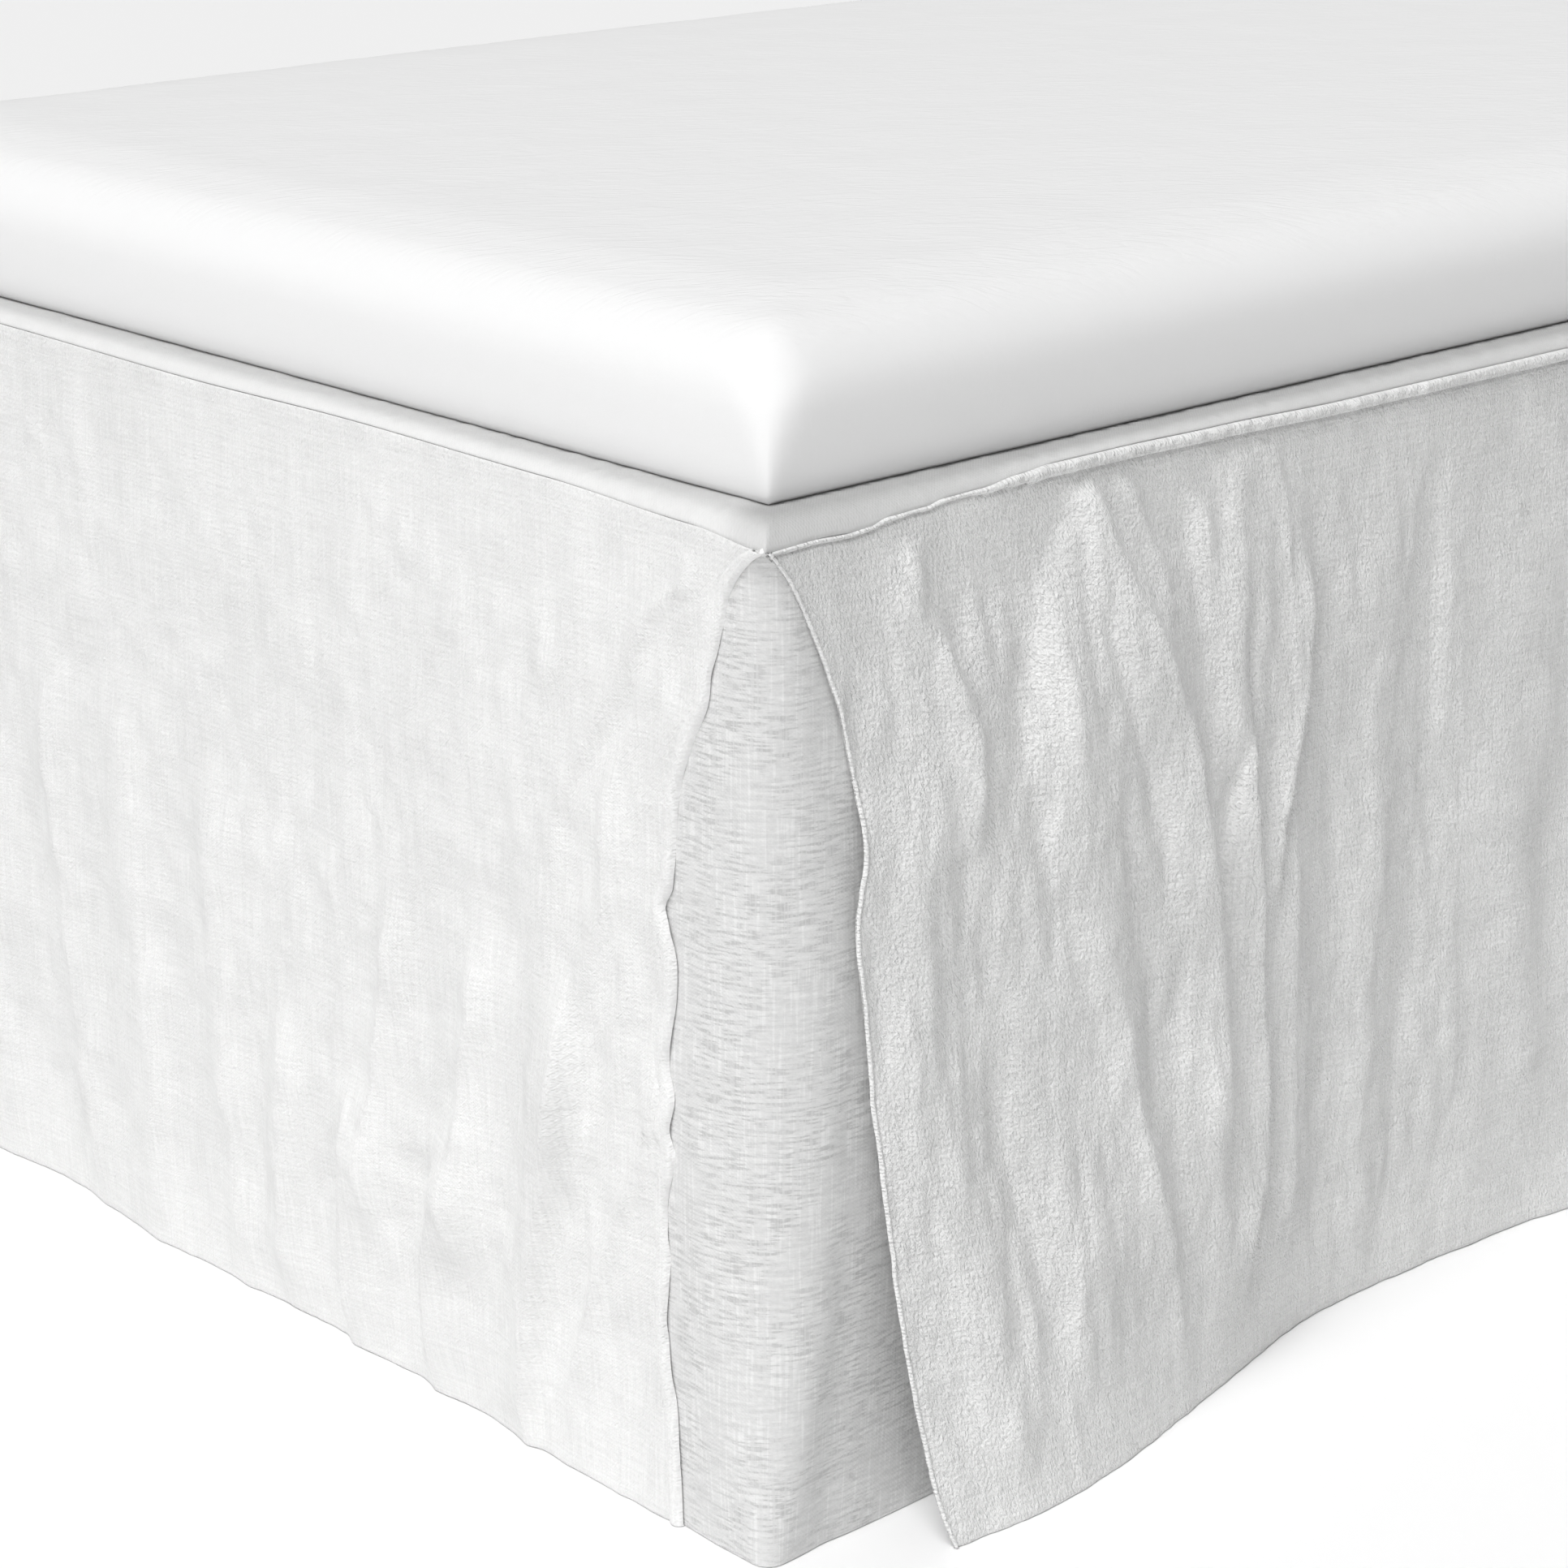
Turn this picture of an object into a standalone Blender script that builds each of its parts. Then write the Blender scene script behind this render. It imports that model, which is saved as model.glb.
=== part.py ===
"""A linen bed skirt with split corners, on a bed base and under a mattress topper.

Metres, +Z up. The origin is on the floor below the middle of the bed. The foot of the bed
faces -Y and its head, which the skirt leaves open, faces +Y. The deck of the skirt lies
between base and topper. Three panels hang from its edges, and a gusset closes each split
between two panels at a foot corner.

Places on a panel are given as an along, measured from its own foot corner, and a height
above the hem. An outward offset is measured from the face of the bed base.
"""

import math
import random
from collections import namedtuple

import bmesh
import bpy
from mathutils import Vector

# Driving dimensions. The bed stands a little towards the head, so that the folds of the foot
# panel leave the footprint centred on the origin.
BED_WIDTH = 0.900
BED_LENGTH = 2.000
BED_MIDDLE_Y = 0.009
SKIRT_DROP = 0.520
FLOOR_GAP = 0.004
BASE_DEPTH = 0.300
TOPPER_DEPTH = 0.080
TOPPER_INSET = 0.016

# Cloth, as thicknesses and the layers that lie over each other at the base's face
LAYER_GAP = 0.0004
CLOTH_CLEARANCE = 0.0020
GUSSET_CLOTH = 0.0012
PANEL_CLOTH = 0.0015
HEM_CLOTH = 0.0025
DECK_CLOTH = 0.0012
GUSSET_OUT = CLOTH_CLEARANCE + GUSSET_CLOTH
PANEL_IN = GUSSET_OUT + LAYER_GAP
PANEL_OUT = PANEL_IN + PANEL_CLOTH
HEM_RISE = HEM_CLOTH - PANEL_CLOTH

# Seams and hems
SEAM_DEPTH = 0.009
SIDE_HEM = 0.0075
HEM_STEP = 0.0013
BOTTOM_HEM = 0.036
DECK_ROLL = 0.012
DECK_TUCK = 0.002
GUSSET_REACH = 0.130
GUSSET_CORNER = 0.008

# Bed base, legs and topper
BASE_ROUND = 0.012
BASE_CORNER = 0.025
LEG_RADIUS = 0.027
LEG_TAPER = 0.8
LEG_INSET = 0.130
LEG_ROWS = 3
TOPPER_CORNER = 0.018
TOPPER_TOP_ROUND = 0.030
TOPPER_FOOT_ROUND = 0.007
TOPPER_CROWN = 0.006
TOPPER_BULGE = 0.003
TOPPER_CUTS = 9
TOPPER_FLAT_SHARE = 0.6

# Worked out from the sizes above
HALF_WIDTH = BED_WIDTH / 2
HALF_LENGTH = BED_LENGTH / 2
DECK_TOP = FLOOR_GAP + SKIRT_DROP
BASE_TOP = DECK_TOP - DECK_CLOTH - LAYER_GAP
BASE_FLOOR = BASE_TOP - BASE_DEPTH
FREE_HEIGHT = BASE_FLOOR - FLOOR_GAP
FOOT_SPAN = BED_WIDTH + 2 * PANEL_OUT
SIDE_SPAN = BED_LENGTH + PANEL_OUT

# How far below the top of the deck the panels' seam runs, by its distance from the foot
# corner. Where it is least, the gathers pull the seam up on to the base's edge.
SeamPoint = namedtuple("SeamPoint", "along drop")
FOOT_SEAM = (
    SeamPoint(0.000, 0.014),
    SeamPoint(0.050, 0.010),
    SeamPoint(0.150, 0.007),
    SeamPoint(0.300, 0.006),
    SeamPoint(0.450, 0.008),
    SeamPoint(0.620, 0.007),
    SeamPoint(0.780, 0.007),
    SeamPoint(0.860, 0.010),
    SeamPoint(0.910, 0.014),
)
SIDE_SEAM = (
    SeamPoint(0.000, 0.014),
    SeamPoint(0.070, 0.016),
    SeamPoint(0.100, 0.014),
    SeamPoint(0.136, 0.011),
    SeamPoint(0.174, 0.005),
    SeamPoint(0.230, 0.006),
    SeamPoint(0.300, 0.008),
    SeamPoint(0.400, 0.012),
    SeamPoint(0.560, 0.007),
    SeamPoint(0.820, 0.010),
    SeamPoint(1.150, 0.006),
    SeamPoint(1.500, 0.011),
    SeamPoint(1.800, 0.007),
    SeamPoint(2.010, 0.009),
)

# Where each panel's free edge stands at a foot corner, by its height above the hem
EdgePoint = namedtuple("EdgePoint", "height along")
FOOT_EDGE = (
    EdgePoint(0.520, 0.002),
    EdgePoint(0.506, 0.004),
    EdgePoint(0.495, 0.015),
    EdgePoint(0.479, 0.027),
    EdgePoint(0.450, 0.034),
    EdgePoint(0.415, 0.044),
    EdgePoint(0.385, 0.058),
    EdgePoint(0.345, 0.064),
    EdgePoint(0.320, 0.069),
    EdgePoint(0.290, 0.064),
    EdgePoint(0.235, 0.070),
    EdgePoint(0.150, 0.070),
    EdgePoint(0.060, 0.065),
    EdgePoint(0.000, 0.064),
)
SIDE_EDGE = (
    EdgePoint(0.520, 0.002),
    EdgePoint(0.504, 0.004),
    EdgePoint(0.488, 0.018),
    EdgePoint(0.464, 0.028),
    EdgePoint(0.423, 0.041),
    EdgePoint(0.385, 0.053),
    EdgePoint(0.333, 0.055),
    EdgePoint(0.295, 0.055),
    EdgePoint(0.240, 0.062),
    EdgePoint(0.166, 0.067),
    EdgePoint(0.103, 0.070),
    EdgePoint(0.067, 0.072),
    EdgePoint(0.024, 0.077),
    EdgePoint(0.000, 0.084),
)

# How far the hem swings out from the base, below the base's underside
FlarePoint = namedtuple("FlarePoint", "along out")
FOOT_FLARE = (
    FlarePoint(0.000, 0.005),
    FlarePoint(0.100, 0.006),
    FlarePoint(0.160, 0.005),
    FlarePoint(0.220, 0.000),
    FlarePoint(0.300, 0.002),
    FlarePoint(0.400, 0.001),
    FlarePoint(0.500, 0.006),
    FlarePoint(0.600, 0.000),
    FlarePoint(0.720, 0.005),
    FlarePoint(0.800, 0.002),
    FlarePoint(0.910, 0.006),
)
RIGHT_FLARE = (
    FlarePoint(0.000, 0.040),
    FlarePoint(0.090, 0.043),
    FlarePoint(0.145, 0.046),
    FlarePoint(0.200, 0.040),
    FlarePoint(0.260, 0.028),
    FlarePoint(0.330, 0.014),
    FlarePoint(0.410, 0.001),
    FlarePoint(0.560, 0.004),
    FlarePoint(0.700, 0.018),
    FlarePoint(0.860, 0.006),
    FlarePoint(1.060, 0.022),
    FlarePoint(1.240, 0.003),
    FlarePoint(1.430, 0.016),
    FlarePoint(1.640, 0.002),
    FlarePoint(1.830, 0.012),
    FlarePoint(2.010, 0.004),
)
LEFT_FLARE = (
    FlarePoint(0.000, 0.036),
    FlarePoint(0.120, 0.045),
    FlarePoint(0.230, 0.032),
    FlarePoint(0.370, 0.006),
    FlarePoint(0.520, 0.002),
    FlarePoint(0.650, 0.014),
    FlarePoint(0.800, 0.003),
    FlarePoint(0.980, 0.020),
    FlarePoint(1.160, 0.004),
    FlarePoint(1.360, 0.015),
    FlarePoint(1.560, 0.002),
    FlarePoint(1.770, 0.014),
    FlarePoint(2.010, 0.003),
)

# The main folds: each a soft ridge, or a trough where rise is negative, that runs from its
# top point to its foot point
Fold = namedtuple("Fold", "top_along top_height foot_along foot_height half_width rise")
FOOT_FOLDS = (
    Fold(0.070, 0.470, 0.156, 0.300, 0.010, 0.0020),
    Fold(0.098, 0.330, 0.102, 0.060, 0.016, 0.0040),
    Fold(0.112, 0.310, 0.183, 0.000, 0.017, 0.0080),
    Fold(0.173, 0.330, 0.204, 0.040, 0.014, -0.0040),
    Fold(0.214, 0.260, 0.248, 0.010, 0.014, 0.0070),
    Fold(0.266, 0.200, 0.263, 0.000, 0.013, -0.0040),
    Fold(0.282, 0.240, 0.326, 0.020, 0.016, 0.0055),
    Fold(0.348, 0.160, 0.332, 0.000, 0.014, -0.0040),
    Fold(0.366, 0.200, 0.368, 0.030, 0.018, 0.0045),
    Fold(0.440, 0.260, 0.425, 0.000, 0.020, 0.0060),
    Fold(0.520, 0.210, 0.532, 0.000, 0.018, -0.0050),
    Fold(0.590, 0.290, 0.566, 0.000, 0.018, 0.0065),
    Fold(0.660, 0.230, 0.672, 0.020, 0.017, 0.0045),
    Fold(0.745, 0.320, 0.722, 0.000, 0.018, 0.0070),
    Fold(0.812, 0.270, 0.808, 0.040, 0.016, 0.0040),
)
RIGHT_FOLDS = (
    Fold(0.039, 0.430, 0.084, 0.260, 0.014, 0.0030),
    Fold(0.081, 0.475, 0.128, 0.370, 0.013, 0.0045),
    Fold(0.111, 0.350, 0.162, 0.050, 0.020, -0.0040),
    Fold(0.198, 0.505, 0.167, 0.410, 0.011, -0.0045),
    Fold(0.161, 0.400, 0.179, 0.300, 0.010, -0.0030),
    Fold(0.203, 0.500, 0.258, 0.352, 0.015, 0.0055),
    Fold(0.258, 0.352, 0.305, 0.150, 0.017, 0.0060),
    Fold(0.222, 0.220, 0.267, 0.040, 0.017, 0.0045),
    Fold(0.239, 0.320, 0.284, 0.060, 0.015, -0.0040),
    Fold(0.321, 0.380, 0.312, 0.280, 0.013, 0.0040),
    Fold(0.332, 0.320, 0.351, 0.070, 0.015, -0.0040),
    Fold(0.375, 0.400, 0.360, 0.280, 0.015, 0.0055),
)
GUSSET_FOLDS = (
    Fold(0.026, 0.440, 0.030, 0.300, 0.016, -0.0008),
    Fold(-0.040, 0.330, -0.036, 0.120, 0.014, -0.0010),
    Fold(0.042, 0.260, 0.036, 0.000, 0.014, -0.0012),
    Fold(-0.030, 0.140, -0.044, 0.000, 0.012, -0.0010),
)

# A side panel hangs full, so it stands off the base by its fullness, reached this far below
# its seam. The folds start there too, and each fades out over its end. Troughs go in behind
# the base's face only below the base, and the flare grows by its power from there down.
SIDE_FULLNESS = 0.0040
FULLNESS_REACH = 0.070
FOLD_END = 0.050
DEEPEST_TROUGH = -0.006
FLARE_POWER = 1.4

# The made-up folds of the sides: ranges for their pitch, size and ends
FOLD_PITCH = (0.045, 0.075)
FOLD_TOP = (0.280, 0.490)
FOLD_FOOT = (0.000, 0.060)
FOLD_LEAN = (-0.020, 0.040)
FOLD_HALF_WIDTH = (0.016, 0.026)
FOLD_RISE = (0.0035, 0.0065)
TROUGH_SHARE = 0.8
RIGHT_FOLDS_END = 0.430
SIDE_FOLDS = (0.100, 1.960)

# The meshes' columns and rows: distances in from a free edge, heights above the hem,
# distances down from the top of a seam, and shares of a size
HEM_COLUMNS = (0.0, HEM_STEP, SIDE_HEM, SIDE_HEM + HEM_STEP)
BOTTOM_HEM_ROWS = (0.0, BOTTOM_HEM - HEM_STEP)
PANEL_ROWS = (BOTTOM_HEM, 0.070, 0.110, 0.150, 0.190, 0.235, 0.285, 0.335, 0.385, 0.430, 0.468)
SEAM_ROWS = (SEAM_DEPTH + HEM_STEP, SEAM_DEPTH, HEM_STEP, 0.0)
GUSSET_ROWS = (0.0, 0.050, 0.100, 0.150, 0.200, 0.250, 0.300, 0.350, 0.400, 0.450)
GUSSET_COLUMNS = (0.16, 0.28, 0.40, 0.52, 0.66, 1.0)
GUSSET_ARC = (-1.0, -0.34, 0.34, 1.0)
DECK_COLUMNS = (-0.90, -0.80, -0.60, -0.35, 0.0, 0.35, 0.60, 0.80, 0.90)
DECK_ROLL_ANGLES = (0.0, 30.0, 57.0, 80.0)
DECK_FOOT_STEPS = (0.020, 0.045, 0.075, 0.105, 0.135, 0.165, 0.200, 0.245, 0.300, 0.370, 0.450)
DECK_FAR_STEPS = 12

# The outermost vertex of a hem keeps this share of the hem's rise, which rounds its edge
RIM_SHARE = 0.4

COLOURS = {
    "linen": ((0.84, 0.84, 0.83, 1.0), 0.92),
    "sheer_linen": ((0.78, 0.78, 0.77, 1.0), 0.95),
    "sheet_cotton": ((0.90, 0.90, 0.90, 1.0), 0.85),
    "base_cloth": ((0.70, 0.69, 0.67, 1.0), 0.90),
    "leg_wood": ((0.62, 0.45, 0.28, 1.0), 0.50),
}


def clear_scene():
    for old in list(bpy.data.objects):
        bpy.data.objects.remove(old, do_unlink=True)


def make_materials():
    made = {}
    for name, (colour, roughness) in COLOURS.items():
        material = bpy.data.materials.new(name)
        material.use_nodes = True
        shader = material.node_tree.nodes["Principled BSDF"]
        shader.inputs["Base Color"].default_value = colour
        shader.inputs["Roughness"].default_value = roughness
        shader.inputs["Metallic"].default_value = 0.0
        material.diffuse_color = colour
        made[name] = material
    return made


def add_part(name, bm, material, collection):
    """Turns a bmesh into the named, smooth-shaded object and frees the bmesh."""
    mesh = bpy.data.meshes.new(name)
    bm.to_mesh(mesh)
    bm.free()
    mesh.materials.append(material)
    mesh.shade_smooth()
    made = bpy.data.objects.new(name, mesh)
    collection.objects.link(made)
    return made


def ease(value):
    """Smooth step from 0 to 1."""
    value = min(max(value, 0.0), 1.0)
    return value * value * (3.0 - 2.0 * value)


def read_table(rows, place):
    """Reads the second column of a two-column table at a place in its first, smoothly."""
    rows = sorted(rows)
    if place <= rows[0][0]:
        return rows[0][1]
    for low, high in zip(rows, rows[1:]):
        if place <= high[0]:
            share = ease((place - low[0]) / (high[0] - low[0]))
            return low[1] + (high[1] - low[1]) * share
    return rows[-1][1]


def fold_out(fold, along, height):
    """How far one fold lifts the cloth at a point of the panel."""
    drop = (fold.top_height - height) / (fold.top_height - fold.foot_height)
    drop = min(max(drop, 0.0), 1.0)
    middle = fold.top_along + (fold.foot_along - fold.top_along) * drop
    spread = (along - middle) / fold.half_width
    past_end = max(height - fold.top_height, fold.foot_height - height, 0.0)
    return fold.rise * math.exp(-spread * spread) * ease(1.0 - past_end / FOLD_END)


def hanging_folds(start, end, seed):
    """Uneven folds for a long side that hangs free, from one along to another."""
    draw = random.Random(seed)
    folds = []
    along = start
    while along < end:
        rise = draw.uniform(*FOLD_RISE)
        folds.append(
            Fold(
                top_along=along,
                top_height=draw.uniform(*FOLD_TOP),
                foot_along=along + draw.uniform(*FOLD_LEAN),
                foot_height=draw.uniform(*FOLD_FOOT),
                half_width=draw.uniform(*FOLD_HALF_WIDTH),
                rise=rise if len(folds) % 2 == 0 else -TROUGH_SHARE * rise,
            )
        )
        along += draw.uniform(*FOLD_PITCH)
    return tuple(folds)


def foot_place(along, out, height):
    """A point of the foot panel: along runs from the right foot corner to the left one."""
    x = HALF_WIDTH + PANEL_OUT - along
    return Vector((x, BED_MIDDLE_Y - HALF_LENGTH - out, FLOOR_GAP + height))


def right_place(along, out, height):
    """A point of the right side panel: along runs from the foot towards the head."""
    y = BED_MIDDLE_Y - HALF_LENGTH - PANEL_OUT + along
    return Vector((HALF_WIDTH + out, y, FLOOR_GAP + height))


def left_place(along, out, height):
    """A point of the left side panel: the mirror of the right one."""
    place = right_place(along, out, height)
    place.x = -place.x
    return place


# What tells the panels apart. count and crowd set the columns, which crowd towards the near
# corner where crowd is under 1. A panel with two_corners has a split at its far edge too.
Panel = namedtuple(
    "Panel", "name place outward span seam edge flare folds fullness two_corners count crowd"
)


def foot_panel():
    return Panel(
        name="foot_panel", place=foot_place, outward=Vector((0, -1, 0)), span=FOOT_SPAN,
        seam=FOOT_SEAM, edge=FOOT_EDGE, flare=FOOT_FLARE, folds=FOOT_FOLDS, fullness=0.0,
        two_corners=True, count=40, crowd=1.0,
    )


def right_panel():
    folds = RIGHT_FOLDS + hanging_folds(RIGHT_FOLDS_END, SIDE_FOLDS[1], seed=11)
    return Panel(
        name="right_side_panel", place=right_place, outward=Vector((1, 0, 0)), span=SIDE_SPAN,
        seam=SIDE_SEAM, edge=SIDE_EDGE, flare=RIGHT_FLARE, folds=folds,
        fullness=SIDE_FULLNESS, two_corners=False, count=56, crowd=0.35,
    )


def left_panel():
    folds = hanging_folds(*SIDE_FOLDS, seed=23)
    return Panel(
        name="left_side_panel", place=left_place, outward=Vector((-1, 0, 0)), span=SIDE_SPAN,
        seam=SIDE_SEAM, edge=SIDE_EDGE, flare=LEFT_FLARE, folds=folds,
        fullness=SIDE_FULLNESS, two_corners=False, count=44, crowd=0.55,
    )


def seam_height(seam, along):
    """Top of the seam above the hem."""
    return SKIRT_DROP - read_table(seam, along)


def cloth_out(panel, along, height, seam_top):
    """Outward offset of a panel's outer face from the face of the base."""
    below_seam = seam_top - SEAM_DEPTH - height
    hang = ease(below_seam / FULLNESS_REACH)
    swing = max(1.0 - height / FREE_HEIGHT, 0.0) ** FLARE_POWER
    out = panel.fullness * hang + read_table(panel.flare, along) * swing
    out += hang * sum(fold_out(fold, along, height) for fold in panel.folds)
    from_corner = min(along, panel.span - along) if panel.two_corners else along
    past_gusset = ease((from_corner - GUSSET_REACH - PANEL_OUT) / GUSSET_REACH)
    lowest = DEEPEST_TROUGH * ease(1.0 - height / FREE_HEIGHT) * past_gusset
    return PANEL_OUT + max(out, lowest)


def column_shares(panel):
    """Shares from edge to edge for the columns between a panel's two side hems."""
    shares = [index / panel.count for index in range(1, panel.count)]
    return [(1.0 - panel.crowd) * share ** 2 + panel.crowd * share for share in shares]


def column_along(panel, column, shares, height):
    """Where a column of a panel stands at a height, and whether it lies in a side hem."""
    near = read_table(panel.edge, height)
    far = panel.span - (near if panel.two_corners else 0.0)
    hems = len(HEM_COLUMNS)
    last = 2 * hems + len(shares) - 1
    in_hem = min(column, last - column) < hems - 1
    if column < hems:
        return near + HEM_COLUMNS[column], in_hem
    if column > last - hems:
        return far - HEM_COLUMNS[last - column], in_hem
    inner = near + HEM_COLUMNS[-1]
    return inner + (far - HEM_COLUMNS[-1] - inner) * shares[column - hems], in_hem


def sheet_grid(columns, rows):
    """A flat grid with the given counts of points, and each vertex by (column, row)."""
    bm = bmesh.new()
    bmesh.ops.create_grid(bm, x_segments=columns - 1, y_segments=rows - 1, size=1.0)
    cells = {}
    for vertex in bm.verts:
        column = round((vertex.co.x + 1.0) / 2.0 * (columns - 1))
        row = round((vertex.co.y + 1.0) / 2.0 * (rows - 1))
        cells[column, row] = vertex
    return bm, cells


def face_out(bm, outward):
    """Turns the faces so that they look the way of the outward vector, on the whole."""
    bm.normal_update()
    total = sum((face.normal * face.calc_area() for face in bm.faces), Vector())
    if total.dot(outward) < 0.0:
        bmesh.ops.reverse_faces(bm, faces=bm.faces)


def give_thickness(made, thick, hem=None, thin=None):
    """Solidify inwards from the outer face; vertices in hem get thick and the rest thin."""
    solid = made.modifiers.new("cloth", "SOLIDIFY")
    solid.thickness = thick
    solid.offset = -1.0
    solid.use_rim = True
    if hem is not None:
        group = made.vertex_groups.new(name="hem")
        group.add(hem, 1.0, "REPLACE")
        solid.vertex_group = group.name
        solid.thickness_vertex_group = thin / thick


def make_panel(panel, material, collection):
    """One hanging panel: folded cloth with a seam at its top and hems on its free edges."""
    shares = column_shares(panel)
    heights = BOTTOM_HEM_ROWS + PANEL_ROWS
    columns = 2 * len(HEM_COLUMNS) + len(shares)
    rows = len(heights) + len(SEAM_ROWS)
    bm, cells = sheet_grid(columns, rows)
    hem_cells = []
    for (column, row), vertex in cells.items():
        down = SEAM_ROWS[row - len(heights)] if row >= len(heights) else None
        level = SKIRT_DROP - SEAM_DEPTH - down if down is not None else heights[row]
        along, in_side_hem = column_along(panel, column, shares, level)
        seam_top = seam_height(panel.seam, along)
        height = heights[row] if down is None else seam_top - down
        out = cloth_out(panel, along, height, seam_top)
        in_seam = down is not None and down <= SEAM_DEPTH
        if in_seam or in_side_hem or row < len(BOTTOM_HEM_ROWS):
            on_rim = column in (0, columns - 1) or row in (0, rows - 1)
            out += HEM_RISE * (RIM_SHARE if on_rim else 1.0)
            hem_cells.append((column, row))
        vertex.co = panel.place(along, out, height)
    face_out(bm, panel.outward)
    bm.verts.index_update()
    hem = [cells[cell].index for cell in hem_cells]
    give_thickness(add_part(panel.name, bm, material, collection), HEM_CLOTH, hem, PANEL_CLOTH)


def round_corner(along):
    """Plan of the right gusset's outer face: x and y by the distance round its corner."""
    radius = GUSSET_CORNER
    half_arc = radius * math.pi / 4.0
    centre_x = HALF_WIDTH + GUSSET_OUT - radius
    centre_y = BED_MIDDLE_Y - HALF_LENGTH - GUSSET_OUT + radius
    if along > half_arc:
        return Vector((centre_x + radius, centre_y + along - half_arc, 0.0)), Vector((1, 0, 0))
    if along < -half_arc:
        return Vector((centre_x + along + half_arc, centre_y - radius, 0.0)), Vector((0, -1, 0))
    angle = along / radius - math.pi / 4.0
    outward = Vector((math.cos(angle), math.sin(angle), 0.0))
    return Vector((centre_x, centre_y, 0.0)) + radius * outward, outward


def make_gusset(name, side, material, collection):
    """The strip behind the split of one foot corner: side is 1 on the right, -1 on the left."""
    ends = [GUSSET_REACH * share for share in GUSSET_COLUMNS]
    arc = [GUSSET_CORNER * math.pi / 4.0 * share for share in GUSSET_ARC]
    alongs = [-end for end in reversed(ends)] + arc + ends
    rows = len(GUSSET_ROWS) + 1
    bm, cells = sheet_grid(len(alongs), rows)
    for (column, row), vertex in cells.items():
        along = alongs[column]
        plan, outward = round_corner(along)
        seam = SIDE_SEAM if along > 0.0 else FOOT_SEAM
        top = seam_height(seam, abs(along)) - DECK_TUCK - LAYER_GAP
        height = top if row == rows - 1 else GUSSET_ROWS[row]
        ripple = sum(fold_out(fold, along, height) for fold in GUSSET_FOLDS)
        vertex.co = plan + ripple * outward
        vertex.co.z = FLOOR_GAP + height
        vertex.co.x *= side
    face_out(bm, Vector((side, -1.0, 0.0)))
    give_thickness(add_part(name, bm, material, collection), GUSSET_CLOTH)


def deck_roll(outer):
    """Lines of the roll at an outer edge, as (distance from the middle, angle down)."""
    angles = [math.radians(angle) for angle in DECK_ROLL_ANGLES]
    return [(outer - DECK_ROLL + DECK_ROLL * math.sin(angle), angle) for angle in angles]


def make_deck(material, collection):
    """The flat cloth under the topper, rolled down at both sides and at the foot."""
    side_roll = deck_roll(HALF_WIDTH + GUSSET_OUT)
    across = [(-place, angle) for place, angle in reversed(side_roll)]
    across += [(share * HALF_WIDTH, 0.0) for share in DECK_COLUMNS]
    across += side_roll
    lengths = [(-place, angle) for place, angle in reversed(deck_roll(HALF_LENGTH + GUSSET_OUT))]
    flat_start = lengths[-1][0]
    lengths += [(flat_start + step, 0.0) for step in DECK_FOOT_STEPS]
    far_start = lengths[-1][0]
    for step in range(1, DECK_FAR_STEPS + 1):
        lengths.append((far_start + (HALF_LENGTH - far_start) * step / DECK_FAR_STEPS, 0.0))
    bm, cells = sheet_grid(len(across), len(lengths))
    for (column, row), vertex in cells.items():
        x, side_angle = across[column]
        y, foot_angle = lengths[row]
        side_seam = read_table(SIDE_SEAM, y + HALF_LENGTH) + DECK_TUCK
        foot_seam = read_table(FOOT_SEAM, HALF_WIDTH - x) + DECK_TUCK
        side_drop = side_seam * (1.0 - math.cos(side_angle))
        foot_drop = foot_seam * (1.0 - math.cos(foot_angle))
        vertex.co = (x, BED_MIDDLE_Y + y, DECK_TOP - max(side_drop, foot_drop))
    face_out(bm, Vector((0.0, 0.0, 1.0)))
    give_thickness(add_part("skirt_deck", bm, material, collection), DECK_CLOTH)


def bevel_edges(bm, edges, width, segments):
    bmesh.ops.bevel(
        bm, geom=edges, offset=width, segments=segments, profile=0.5, affect="EDGES",
        material=-1,
    )


def is_level(edge):
    first, second = edge.verts
    return abs(first.co.z - second.co.z) < BASE_DEPTH / 2


def make_base(material, collection):
    """The padded box of the bed, its upright corners rounded more than its other edges."""
    bm = bmesh.new()
    bmesh.ops.create_cube(bm, size=1.0)
    bmesh.ops.scale(bm, vec=(BED_WIDTH, BED_LENGTH, BASE_DEPTH), verts=bm.verts)
    bevel_edges(bm, [edge for edge in bm.edges if not is_level(edge)], BASE_CORNER, 4)
    bevel_edges(bm, [edge for edge in bm.edges if is_level(edge)], BASE_ROUND, 3)
    middle = (0.0, BED_MIDDLE_Y, BASE_TOP - BASE_DEPTH / 2)
    bmesh.ops.translate(bm, vec=middle, verts=bm.verts)
    add_part("bed_base", bm, material, collection)


def make_legs(material, collection):
    """Round legs in rows under the base, standing on the floor."""
    height = BASE_FLOOR - LAYER_GAP
    reach = HALF_LENGTH - LEG_INSET
    for row in range(LEG_ROWS):
        y = BED_MIDDLE_Y - reach + 2 * reach * row / (LEG_ROWS - 1)
        for side, word in ((-1, "left"), (1, "right")):
            bm = bmesh.new()
            bmesh.ops.create_cone(
                bm, cap_ends=True, segments=20, radius1=LEG_RADIUS * LEG_TAPER,
                radius2=LEG_RADIUS, depth=height,
            )
            place = (side * (HALF_WIDTH - LEG_INSET), y, height / 2)
            bmesh.ops.translate(bm, vec=place, verts=bm.verts)
            add_part(f"leg_{word}_{row + 1}", bm, material, collection)


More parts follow.
